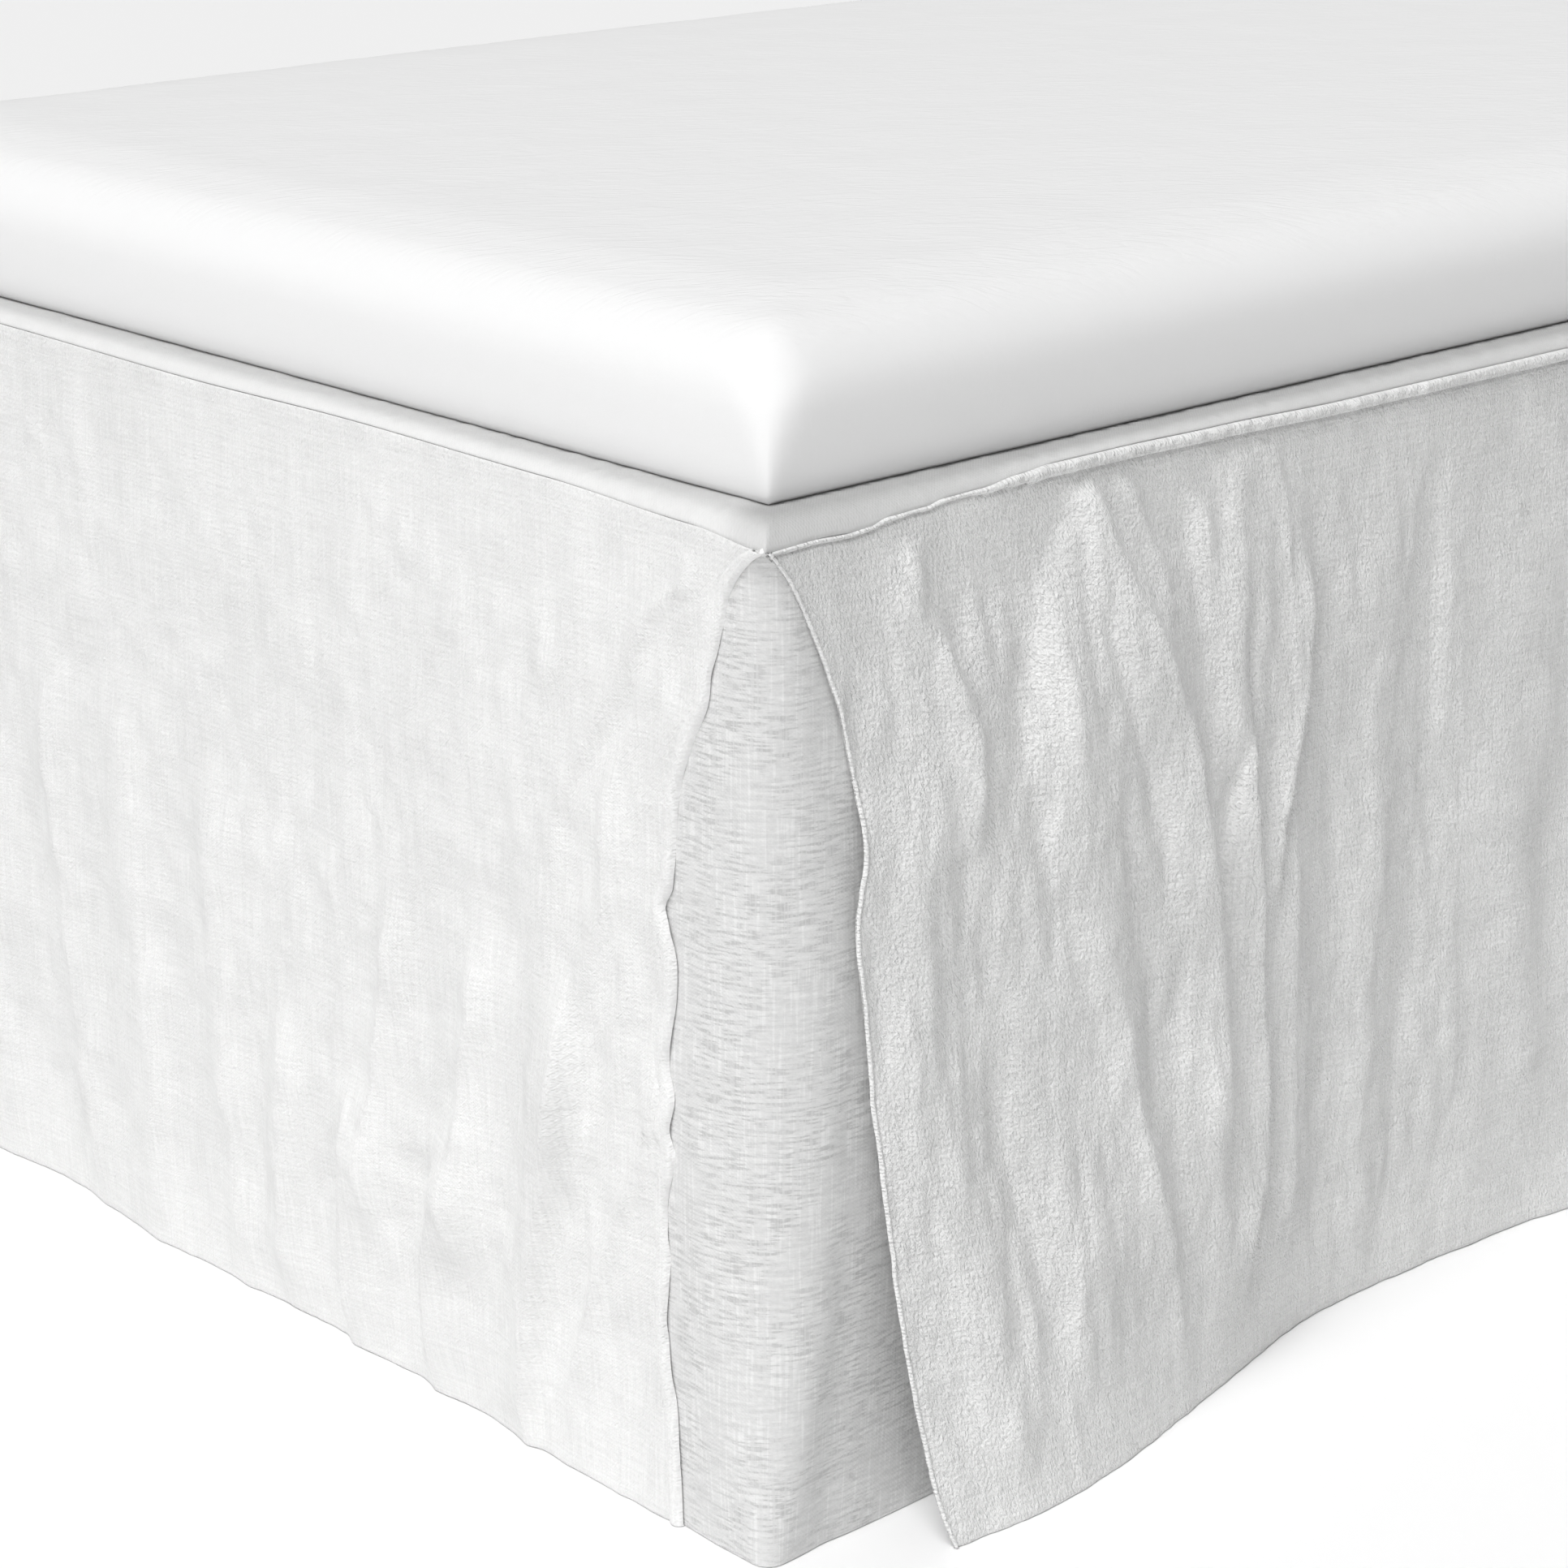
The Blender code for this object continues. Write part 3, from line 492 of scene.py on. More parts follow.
class Shader:
    """One material and the nodes that feed its surface"""

    def __init__(self, name, roughness, sheen=0.0):
        self.material = bpy.data.materials.new(name)
        self.material.use_nodes = True
        self.tree = self.material.node_tree
        self.surface = self.tree.nodes["Principled BSDF"]
        self.surface.inputs["Roughness"].default_value = roughness
        self.surface.inputs["Sheen Weight"].default_value = sheen
        self.surface.inputs["Specular IOR Level"].default_value = 0.2

    def feed(self, socket, value):
        """Links a Field to a socket, or sets the socket to a plain value."""
        if isinstance(value, Field):
            self.tree.links.new(value.socket, socket)
        else:
            socket.default_value = value

    def node(self, kind, options=None, inputs=None, output=0):
        """Adds a node with its options and inputs, and gives one of its outputs."""
        made = self.tree.nodes.new(kind)
        for name, value in (options or {}).items():
            setattr(made, name, value)
        for name, value in (inputs or {}).items():
            self.feed(made.inputs[name], value)
        return Field(self, made.outputs[output])

    def place(self, uv_map):
        """The two coordinates of a UV map, in metres."""
        at = self.node("ShaderNodeUVMap", {"uv_map": uv_map})
        return self.split(at)[:2]

    def object_place(self):
        """The three coordinates of the point, in metres."""
        return self.split(self.node("ShaderNodeTexCoord", output="Object"))

    def split(self, vector):
        """The three parts of a vector."""
        parts = self.node("ShaderNodeSeparateXYZ", None, {0: vector})
        return [Field(self, socket) for socket in parts.socket.node.outputs]

    def join(self, *values):
        """The vector of up to three parts."""
        return self.node("ShaderNodeCombineXYZ", None, dict(enumerate(values)))

    def blotches(self, *scaled, detail=2.0, roughness=0.5):
        """Noise about 0, from about -0.5 to 0.5, with one blotch to each unit of scaled."""
        options = {"noise_dimensions": "3D"}
        inputs = {"Vector": self.join(*scaled), "Scale": 1.0, "Detail": detail,
                  "Roughness": roughness}
        return self.node("ShaderNodeTexNoise", options, inputs) - 0.5

    def tint(self, colour, strength):
        """The colour made lighter or darker: strength is a factor about 1."""
        grey = self.join(strength, strength, strength)
        mixed = self.node(
            "ShaderNodeVectorMath", {"operation": "MULTIPLY"}, {0: grey, 1: tuple(colour)}
        )
        self.feed(self.surface.inputs["Base Color"], mixed)

    def relief(self, height, depth):
        """Bumps the surface: a height of 1 stands a depth in metres above 0."""
        inputs = {"Height": height, "Strength": 1.0, "Distance": depth}
        bump = self.node("ShaderNodeBump", None, inputs)
        self.feed(self.surface.inputs["Normal"], bump)


def weave(shader, along, height, pitch):
    """Plain weave, as a height from 0 to 1, with the threads a little out of line."""
    sway_u = shader.blotches(along * 60.0, height * 60.0, detail=1.0) * 0.0010
    sway_v = shader.blotches(along * 60.0, height * 60.0, 7.0, detail=1.0) * 0.0010
    turn_u = (along + sway_u) * (math.pi / pitch)
    turn_v = (height + sway_v) * (math.pi / pitch)
    over = turn_u.sine() * turn_v.sine()
    return over * 0.5 + 0.5


def linen_material(name, colour, crepe, hem_width, stitches):
    """Washed linen: plain weave, slubs both ways, and a fine crepe grain. Its doubled
    hems show whiter, and where stitches is 1 thread is whipped over the free edge."""
    shader = Shader(name, roughness=0.92, sheen=0.15)
    along, height = shader.place("cloth")
    away = shader.place("hem")[0]
    threads = weave(shader, along, height, settings().sewing.thread_pitch)
    weft = shader.blotches(along * 28.0, height * 820.0, detail=1.0)
    warp = shader.blotches(along * 820.0, height * 24.0, 3.0, detail=1.0)
    grain = shader.blotches(along * 680.0 + height * 160.0, height * 420.0, 5.0, detail=2.0)
    dents = shader.blotches(along * 210.0 + height * 60.0, height * 100.0, 12.0, detail=2.0)
    folds = shader.blotches(along * 85.0 + height * 22.0, height * 34.0, 15.0, detail=3.0)
    creases = 1.0 - folds.size().rise(0.0, 0.055)
    clouds = shader.blotches(along * 70.0, height * 44.0, 21.0, detail=2.0)
    patches = shader.blotches(along * 22.0, height * 9.0, 9.0, detail=2.0)
    pebbles = shader.blotches(along * 900.0, height * 600.0, 8.0, detail=1.0)
    doubled = 1.0 - away.rise(hem_width - 0.0005, hem_width + 0.0005)
    whiter = doubled * 0.035 + (1.0 - height.rise(0.040, 0.075)) * 0.05 * crepe
    fibres = weft * 0.14 + warp * 0.14 + pebbles * 0.12 + threads * 0.02
    uneven = (patches * 0.10 + clouds * 0.07) * (1.0 + crepe)
    shader.tint(colour, 0.985 + fibres * (1.0 + 0.4 * crepe) + uneven + whiter)
    fine = threads * 0.05 + weft * 0.08 + warp * 0.08 + pebbles * 0.12
    whipped = (height * 3400.0).sine() * (1.0 - away.rise(0.0022, 0.0034)) * (0.05 * stitches)
    shader.relief(fine + whipped + (grain * 0.85 + dents * 0.42 - creases * 0.04) * crepe, 0.0023)
    return shader.material


def deck_material(name, colour):
    """The deck's linen, with painted shade: greyer towards the topper, and most along the right
    side.
    """
    shader = Shader(name, roughness=0.92, sheen=0.15)
    along, height = shader.place("cloth")
    inner = shader.place("hem")[0]
    threads = weave(shader, along, height, settings().sewing.thread_pitch)
    pebbles = shader.blotches(along * 900.0, height * 600.0, 8.0, detail=1.0)
    patches = shader.blotches(along * 60.0, height * 60.0, 9.0, detail=2.0)
    # Painted shade: the deck is darkened a little everywhere, more towards the topper and along the
    # right side, as if in the topper's shade.
    painted_topper_shade = inner.rise(-0.0060, 0.0060) * 0.30 + 0.05
    side = along.rise(2 * HALF_WIDTH - 0.030, 2 * HALF_WIDTH - 0.010) * 0.14
    shader.tint(colour, 1.0 - painted_topper_shade - side + pebbles * 0.06 + patches * 0.08 + threads * 0.02)
    shader.relief(threads * 0.1 + pebbles * 0.2 + patches * 0.6, 0.0009)
    return shader.material


def sheer_material(name, colour):
    """Open linen: thick and thin threads with darker gaps that run with the weft."""
    shader = Shader(name, roughness=0.95)
    along, height = shader.place("cloth")
    threads = weave(shader, along, height, settings().sewing.thread_pitch * 1.2)
    weft = shader.blotches(along * 85.0, height * 560.0, detail=2.0)
    warp = shader.blotches(along * 640.0, height * 26.0, 3.0, detail=1.0)
    cell = shader.blotches(along * 380.0, height * 720.0, 4.0, detail=1.0)
    rows = shader.blotches(along * 9.0, height * 270.0, 7.0, detail=2.0)
    open_place = shader.blotches(along * 26.0, height * 20.0, 6.0, detail=2.0)
    crowd = open_place.rise(-0.16, 0.10) * 0.7 + 0.3
    gaps = weft.rise(-0.02, 0.10) * (warp.rise(-0.10, 0.06) * 0.6 + 0.4) * crowd
    cords = warp.rise(0.06, 0.14) * 0.06 + (0.0 - weft).rise(0.08, 0.16) * 0.05
    thin = shader.blotches(along * 1400.0, height * 1400.0, 2.0, detail=1.0) * 0.09
    lean = 1.0 - gaps * 0.25 + cords + thin + warp * 0.12 + rows * 0.20 + cell * 0.18
    shader.tint(colour, lean)
    shader.relief(threads * 0.2 + weft * -0.5 + warp * 0.5, 0.0004)
    return shader.material


def sheet_material(name, colour):
    """Fine cotton sheet: nearly smooth, with shallow creases on the top."""
    shader = Shader(name, roughness=0.85, sheen=0.1)
    x, y, z = shader.object_place()
    sway = shader.blotches(x * 9.0, y * 9.0, z * 9.0, detail=2.0) * 0.05
    lean = x * 0.55 + y * 0.83 + sway
    across = x * 0.83 - y * 0.55 + sway
    creases = shader.blotches(lean * 38.0, across * 150.0, z * 20.0, detail=3.0)
    ripples = shader.blotches(x * 90.0, y * 90.0, z * 90.0, detail=2.0)
    threads = shader.blotches(x * 900.0, y * 900.0, z * 900.0, detail=1.0)
    edge = creases.size().rise(0.0, 0.10)
    on_top = z.rise(TOPPER_HIGH.z - 0.030, TOPPER_HIGH.z - 0.006) * 0.9 + 0.1
    shader.tint(colour, 1.0 + threads * 0.012)
    shader.relief((creases * 0.5 + edge * 0.2 + ripples * 0.3) * on_top + threads * 0.05, 0.0008)
    return shader.material


def base_material(name, colour):
    """Plain upholstery cloth."""
    shader = Shader(name, roughness=0.95)
    x, y, z = shader.object_place()
    flat = x + y
    threads = weave(shader, flat, z, 0.0016)
    patches = shader.blotches(x * 14.0, y * 14.0, z * 14.0)
    shader.tint(colour, 1.0 + patches * 0.06 + threads * 0.05)
    shader.relief(threads + patches * 0.5, 0.0004)
    return shader.material


def wood_material(name, colour):
    """Lacquered beech, its grain upright."""
    shader = Shader(name, roughness=0.42)
    shader.surface.inputs["Specular IOR Level"].default_value = 0.5
    x, y, z = shader.object_place()
    rings = shader.blotches(x * 70.0, y * 70.0, z * 5.0, detail=3.0)
    flecks = shader.blotches(x * 600.0, y * 600.0, z * 55.0, detail=1.0)
    shader.tint(colour, 1.0 + rings * 0.45 - flecks.rise(0.12, 0.25) * 0.18)
    shader.relief(rings * 0.3 + flecks * 0.2, 0.0003)
    return shader.material


# ---------------------------------------------------------------- shape


def ease(value):
    """Smooth step from 0 to 1."""
    value = min(max(value, 0.0), 1.0)
    return value * value * (3.0 - 2.0 * value)


def read_table(rows, place):
    """Reads the second column of a two-column table at a place in its first, smoothly."""
    rows = sorted(rows)
    if place <= rows[0][0]:
        return rows[0][1]
    for low, high in zip(rows, rows[1:]):
        if place <= high[0]:
            share = ease((place - low[0]) / (high[0] - low[0]))
            return low[1] + (high[1] - low[1]) * share
    return rows[-1][1]


def read_curve(rows, place):
    """Reads a table like read_table, but as one curve that flows through its points."""
    rows = sorted(rows)
    if place <= rows[0][0]:
        return rows[0][1]
    if place >= rows[-1][0]:
        return rows[-1][1]
    index = next(i for i, row in enumerate(rows) if place < row[0]) - 1
    low, high = rows[index], rows[index + 1]
    before, after = rows[max(index - 1, 0)], rows[min(index + 2, len(rows) - 1)]
    step = high[0] - low[0]
    start = (high[1] - before[1]) / (high[0] - before[0]) * step
    end = (after[1] - low[1]) / (after[0] - low[0]) * step
    t = (place - low[0]) / step
    rise = high[1] - low[1]
    bend = (start + end - 2.0 * rise) * t + 3.0 * rise - 2.0 * start - end
    return low[1] + (start + bend * t) * t


def wave(x, z, seed):
    """Smooth noise from about -1 to 1."""
    return noise.noise(Vector((x, z, seed)))


def path_along(path, height):
    """Where a fold's line stands at a height. Past its ends it runs straight up and down."""
    for high, low in zip(path, path[1:]):
        if height >= low.height:
            share = (high.height - height) / (high.height - low.height)
            return high.along + (low.along - high.along) * max(share, 0.0)
    return path[-1].along


def fold_out(fold, along, height):
    """How far one fold lifts the cloth at a point of the panel."""
    if abs(along - fold.path[0].along) > FOLD_RANGE:
        return 0.0
    away = along - path_along(fold.path, height)
    spread = abs(away) / (fold.near if away < 0.0 else fold.far)
    if spread > 3.0:
        return 0.0
    past = max(height - fold.path[0].height, fold.path[-1].height - height, 0.0)
    return fold.rise * math.exp(-(spread ** 1.5)) * ease(1.0 - past / FOLD_END)


def hanging_folds(start, end, seed):
    """Uneven folds for a long side that hangs free, from one along to another."""
    draw = random.Random(seed)
    folds = []
    along = start
    while along < end:
        rise = draw.uniform(*FOLD_RISE)
        folds.append(
            Fold(
                path=table(
                    EdgePoint, (draw.uniform(*FOLD_TOP), along),
                    (draw.uniform(*FOLD_FOOT), along + draw.uniform(*FOLD_LEAN)),
                ),
                near=draw.uniform(*FOLD_WIDTH),
                far=draw.uniform(*FOLD_WIDTH),
                rise=rise if len(folds) % 2 == 0 else -TROUGH_SHARE * rise,
            )
        )
        along += draw.uniform(*FOLD_PITCH)
    return tuple(folds)


def hang_height(height):
    """A height above the hem as a height above the floor, which the hems just clear."""
    return FLOOR_GAP + height - (FLOOR_GAP - HEM_GAP) * ease(1.0 - height / HEM_EASE)


def foot_place(along, out, height):
    """A point of the foot panel: along runs from the right foot corner to the left one."""
    return Vector((HALF_WIDTH + PANEL_OUT - along, FOOT_Y - out, hang_height(height)))


def right_place(along, out, height):
    """A point of the right side panel: along runs from the foot towards the head."""
    return Vector((HALF_WIDTH + out, FOOT_Y - PANEL_OUT + along, hang_height(height)))


def left_place(along, out, height):
    """A point of the left side panel: the mirror of the right one."""
    place = right_place(along, out, height)
    place.x = -place.x
    return place


# What tells the panels apart. near_step and far_step space the columns up to near_reach and
# past it. roll is the width of the free edge's rolled hem. crepe scales the crumple, and
# upright is how many of its soft waves stand over each other in a metre.
Panel = namedtuple(
    "Panel",
    "name place outward span seam edge flare folds full two_corners near_reach "
    "near_step far_step row_step roll crepe upright seed",
)


def foot_panel():
    return Panel(
        name="foot_panel", place=foot_place, outward=Vector((0, -1, 0)), span=FOOT_SPAN,
        seam=FOOT_SEAM, edge=FOOT_EDGE, flare=FOOT_FLARE, folds=FOOT_FOLDS,
        full=False, two_corners=True, near_reach=0.420, near_step=0.0028, far_step=0.0050,
        row_step=0.0035, roll=0.0080, crepe=0.75, upright=20.0, seed=3.0,
    )


def right_panel():
    folds = RIGHT_FOLDS + hanging_folds(RIGHT_FOLDS_END, SIDE_FOLDS[1], seed=11)
    return Panel(
        name="right_side_panel", place=right_place, outward=Vector((1, 0, 0)), span=SIDE_SPAN,
        seam=SIDE_SEAM, edge=SIDE_EDGE, flare=RIGHT_FLARE, folds=folds,
        full=True, two_corners=False, near_reach=0.460, near_step=0.0027,
        far_step=0.0115, row_step=0.0040, roll=0.0024, crepe=1.0, upright=9.0, seed=17.0,
    )


def left_panel():
    folds = hanging_folds(*SIDE_FOLDS, seed=23)
    return Panel(
        name="left_side_panel", place=left_place, outward=Vector((-1, 0, 0)), span=SIDE_SPAN,
        seam=SIDE_SEAM, edge=SIDE_EDGE, flare=LEFT_FLARE, folds=folds,
        full=True, two_corners=False, near_reach=0.300, near_step=0.0050,
        far_step=0.0085, row_step=0.0055, roll=0.0024, crepe=1.0, upright=9.0, seed=29.0,
    )


def seam_height(seam, along):
    """Top of the seam above the hem."""
    return SKIRT_DROP - read_table(seam, along)


def crumple_out(panel, along, height):
    """Washed linen's soft waves, its sharp little creases and its small crinkles."""
    sewing = settings().sewing
    bend = 0.012 * wave(along * 11.0, height * 9.0, panel.seed + 40.0)
    place = along + bend + 0.10 * height
    level = height + 0.010 * wave(along * 14.0, height * 14.0, panel.seed + 44.0)
    soft = wave(place * 34.0, level * panel.upright, panel.seed)
    soft += 0.6 * wave(place * 71.0, level * 2.0 * panel.upright, panel.seed + 5.0)
    crease = 0.3 - abs(wave(place * 52.0, level * 19.0, panel.seed + 61.0))
    crease += 0.6 * (0.3 - abs(wave(place * 96.0, level * 38.0, panel.seed + 67.0)))
    small = wave(place * 150.0, level * 60.0, panel.seed + 9.0)
    small += 0.5 * wave(place * 90.0 + level * 60.0, level * 110.0, panel.seed + 13.0)
    calm = 0.35 + 0.65 * ease(height / 0.090)
    rise = sewing.crumple * soft + 2.0 * sewing.crinkle * crease + sewing.crinkle * small
    return panel.crepe * calm * rise


def gather_out(panel, along, down):
    """The puckers that run down from the seam and fade within a few centimetres."""
    fade = ease(down / 0.006) * ease(1.0 - (down - 0.012) / 0.050)
    strength = 0.0007 if panel.full else 0.00018
    lean = along - 0.45 * down
    pull = wave(lean * 130.0, down * 14.0, panel.seed + 21.0)
    pull += 0.5 * wave(lean * 260.0, down * 20.0, panel.seed + 25.0)
    return strength * fade * pull


def soft_floor(value, floor, softness):
    """The value, kept above the floor and bent smoothly near it."""
    above = value - floor
    return floor + 0.5 * (above + math.hypot(above, softness))


def cloth_out(panel, along, height, seam_top):
    """Outward offset of a panel's outer face from the face of the base."""
    down = seam_top - height
    hang = ease((down - SEAM_DEPTH) / FULLNESS_REACH)
    swing = max(1.0 - height / FREE_HEIGHT, 0.0) ** FLARE_POWER
    full = 0.3 + 0.7 * ease(height / 0.140)
    swell = read_curve(SIDE_SWELL if panel.full else FOOT_SWELL, along)
    out = swell * hang * full + read_curve(panel.flare, along) * swing
    near_seam = ease((down - SEAM_DEPTH) / 0.014)
    near_hem = 0.2 + 0.8 * ease(height / 0.050) if panel.full else 0.5 + 0.5 * ease(height / 0.040)
    out += near_seam * near_hem * sum(fold_out(fold, along, height) for fold in panel.folds)
    out += ease((down - SEAM_DEPTH) / 0.050) * crumple_out(panel, along, height)
    out += gather_out(panel, along, down)
    from_corner = min(along, panel.span - along) if panel.two_corners else along
    past_gusset = ease((from_corner - GUSSET_REACH - PANEL_OUT) / GUSSET_REACH)
    lowest = DEEPEST_TROUGH * ease(1.0 - height / FREE_HEIGHT) * past_gusset
    return PANEL_OUT + soft_floor(out, lowest, 0.0006)


def roll_out(share, height):
    """A rolled edge's height above the cloth: share runs over its width, from 0 to 1."""
    if share >= 1.0:
        return 0.0
    return height * math.sqrt(max(1.0 - (2.0 * share - 1.0) ** 2, 0.0))


def groove_out(away, depth, width):
    """A stitched groove."""
    return -depth * math.exp(-((away / width) ** 2))


def seam_out(panel, along, down):
    """The seam: a band with a groove under it. On a side it is a thin lip up to the first
    gathers and a puckered tube past them."""
    if not panel.full:
        band = roll_out(down / SEAM_DEPTH, 0.00015)
        return band + groove_out(down - SEAM_DEPTH, 0.00008, 0.0016)
    tube = ease((along - TUBE_START) / TUBE_EASE)
    width = LIP_WIDTH + (TUBE_WIDTH - LIP_WIDTH) * tube
    kinks = 0.0006 * wave(along * 60.0, 6.0, panel.seed) * (1.0 - tube)
    blobs = 1.0 + 1.3 * wave(along * 125.0, 2.0, panel.seed) + 0.5 * wave(along * 260.0, 4.0, 1.0)
    band = roll_out(down / (width + kinks), LIP_RISE + tube * TUBE_RISE * max(blobs, 0.2))
    return band + groove_out(down - width - kinks, 0.0014, 0.0008)


def top_out(panel, down):
    """The panel's top edge turns in to meet the deck, less at the foot than at the sides."""
    share = min(down / 0.0018, 1.0)
    depth = 0.0007 if panel.full else 0.0003
    return -depth * (1.0 - math.sqrt(max(1.0 - (1.0 - share) ** 2, 0.0)))


def lip_in(away, width, depth):
    """How far the cloth curls in at a free edge: depth at the very edge, none past width."""
    share = min(away / width, 1.0)
    return -depth * (1.0 - math.sqrt(max(1.0 - (1.0 - share) ** 2, 0.0)))


def edge_out(panel, away, height):
    """The rolled hem of a free edge, with its stitched groove."""
    if panel.roll < SEAM_DEPTH / 2:
        return roll_out(away / panel.roll, 0.0013) + groove_out(away - panel.roll, 0.0005, 0.0006)
    puff = 1.0 + 0.35 * wave(height * 38.0, 1.0, panel.seed + 31.0)
    band = roll_out(away / panel.roll, 0.0017 * puff)
    inner = groove_out(away - 0.45 * panel.roll, 0.0004, 0.0006) * ease((height - 0.38) / 0.05)
    curl = lip_in(away, 0.0034, 0.0020)
    return band + inner + curl + groove_out(away - panel.roll, 0.0007, 0.0008)


def bottom_out(height):
    """The bottom hem: a faint line where it is stitched, and a rounded fold at the floor."""
    hem = settings().sewing.bottom_hem
    fold = -0.0005 * ease(1.0 - height / 0.0015)
    return fold + groove_out(height - hem, 0.00035, 0.0025)


def run(start, end, step):
    """Even places from start up to end, end left out, about a step apart."""
    count = max(1, round((end - start) / step))
    return [start + (end - start) * index / count for index in range(count)]


def sheet_grid(columns, rows):
    """A flat grid with the given counts of points, and each vertex by (column, row)."""
    bm = bmesh.new()
    bmesh.ops.create_grid(bm, x_segments=columns - 1, y_segments=rows - 1, size=1.0)
    cells = {}
    for vertex in bm.verts:
        column = round((vertex.co.x + 1.0) / 2.0 * (columns - 1))
        row = round((vertex.co.y + 1.0) / 2.0 * (rows - 1))
        cells[column, row] = vertex
    return bm, cells


def face_out(bm, outward):
    """Turns the faces so that they look the way of the outward vector, on the whole."""
    bm.normal_update()
    total = sum((face.normal * face.calc_area() for face in bm.faces), Vector())
    if total.dot(outward) < 0.0:
        bmesh.ops.reverse_faces(bm, faces=bm.faces)


def lay_map(bm, name, places):
    """Gives the mesh a UV map in metres: places holds each vertex's two coordinates."""
    layer = bm.loops.layers.uv.new(name)
    for face in bm.faces:
        for loop in face.loops:
            loop[layer].uv = places[loop.vert]


def add_piece(name, bm, material, slot, *nodes):
    """Turns a bmesh into a smooth piece that rides on the bed and stands for CAD nodes."""
    for edge in bm.edges:
        edge.smooth = not edge.is_boundary
    mesh = bpy.data.meshes.new(name)
    bm.to_mesh(mesh)
    bm.free()
    mesh.materials.append(material)
    mesh.shade_smooth()
    made = bpy.data.objects.new(name, mesh)
    bpy.context.scene.collection.objects.link(made)
    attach(made, BODY)
    if nodes:
        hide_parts(*nodes)
    return made


def add_cloth(name, bm, outward, on_cloth, on_hem, material, slot, node):
    """Turns the grid of a cloth into its piece, facing outward and with both UV maps."""
    face_out(bm, outward)
    lay_map(bm, "cloth", on_cloth)
    lay_map(bm, "hem", on_hem)
    return add_piece(name, bm, material, slot, node)


def give_thickness(made, thick, hem=None, thin=None):
    """Solidify inwards from the outer face; vertices in hem get thick and the rest thin."""
    solid = made.modifiers.new("cloth", "SOLIDIFY")
    solid.thickness = thick
    solid.offset = -1.0
    solid.use_rim = True
    if hem is not None:
        group = made.vertex_groups.new(name="hem")
        group.add(hem, 1.0, "REPLACE")
        solid.vertex_group = group.name
        solid.thickness_vertex_group = thin / thick


def panel_columns(panel):
    """Shares from edge to edge for the columns between a panel's free edges."""
    inner = run(0.0, panel.near_reach, panel.near_step)
    inner += run(panel.near_reach, panel.span, panel.far_step)
    return [place / panel.span for place in inner[1:]]


def column_along(panel, column, shares, height):
    """Where a column stands at a height, and how far in from the free edge it is."""
    near = read_curve(panel.edge, height)
    far = panel.span - (near if panel.two_corners else 0.0)
    edges = len(EDGE_LINES)
    last = 2 * edges + len(shares) - 1
    if column < edges:
        return near + EDGE_LINES[column], EDGE_LINES[column]
    if column > last - edges:
        away = EDGE_LINES[last - column]
        return far - away, away
    start, end = near + EDGE_ZONE, far - EDGE_ZONE
    along = start + (end - start) * shares[column - edges]
    return along, min(along - near, far - along)


def row_height(levels, row, seam_top):
    """Height of a row under a seam: evenly stretched rows, then the seam's own lines."""
    if row < len(levels):
        return levels[row] * (seam_top - SEAM_ZONE) / (SKIRT_DROP - SEAM_ZONE)
    return seam_top - SEAM_LINES[len(levels) + len(SEAM_LINES) - 1 - row]


def make_panel(panel, material):
    """One hanging panel: folded cloth with a seam at its top and hems on its free edges."""
    shares = panel_columns(panel)
    levels = list(HEM_LINES) + run(0.005, SKIRT_DROP - SEAM_ZONE, panel.row_step)
    columns = 2 * len(EDGE_LINES) + len(shares)
    rows = len(levels) + len(SEAM_LINES)
    bm, cells = sheet_grid(columns, rows)
    corner_top = seam_height(panel.seam, 0.0)
    on_cloth, on_hem, hem_cells = {}, {}, []
    for (column, row), vertex in cells.items():
        corner_height = row_height(levels, row, corner_top)
        along, away = column_along(panel, column, shares, corner_height)
        seam_top = seam_height(panel.seam, along)
        height = row_height(levels, row, seam_top)
        down = seam_top - height
        out = cloth_out(panel, along, height, seam_top)
        out += seam_out(panel, along, down) + edge_out(panel, away, height)
        out += top_out(panel, down) + bottom_out(height)
        vertex.co = panel.place(along, out, height)
        on_cloth[vertex] = (along, height)
        on_hem[vertex] = (away, down)
        if height < settings().sewing.bottom_hem or down <= SEAM_DEPTH or away < panel.roll:
            hem_cells.append((column, row))
    bm.verts.index_update()
    hem = [cells[cell].index for cell in hem_cells]
    made = add_cloth(
        f"linen_{panel.name}", bm, panel.outward, on_cloth, on_hem, material, "linen", panel.name,
    )
    give_thickness(made, settings().sewing.hem_cloth, hem, PANEL_CLOTH)
    return made


def round_corner(along, radius):
    """Plan of the right gusset's outer face, by the distance round its corner: the point and
    the way out."""
    half_arc = radius * math.pi / 4.0
    centre_x = HALF_WIDTH + GUSSET_OUT - radius
    centre_y = FOOT_Y - GUSSET_OUT + radius
    if along > half_arc:
        return Vector((centre_x + radius, centre_y + along - half_arc, 0.0)), Vector((1, 0, 0))
    if along < -half_arc:
        return Vector((centre_x + along + half_arc, centre_y - radius, 0.0)), Vector((0, -1, 0))
    angle = along / radius - math.pi / 4.0
    outward = Vector((math.cos(angle), math.sin(angle), 0.0))
    return Vector((centre_x, centre_y, 0.0)) + radius * outward, outward


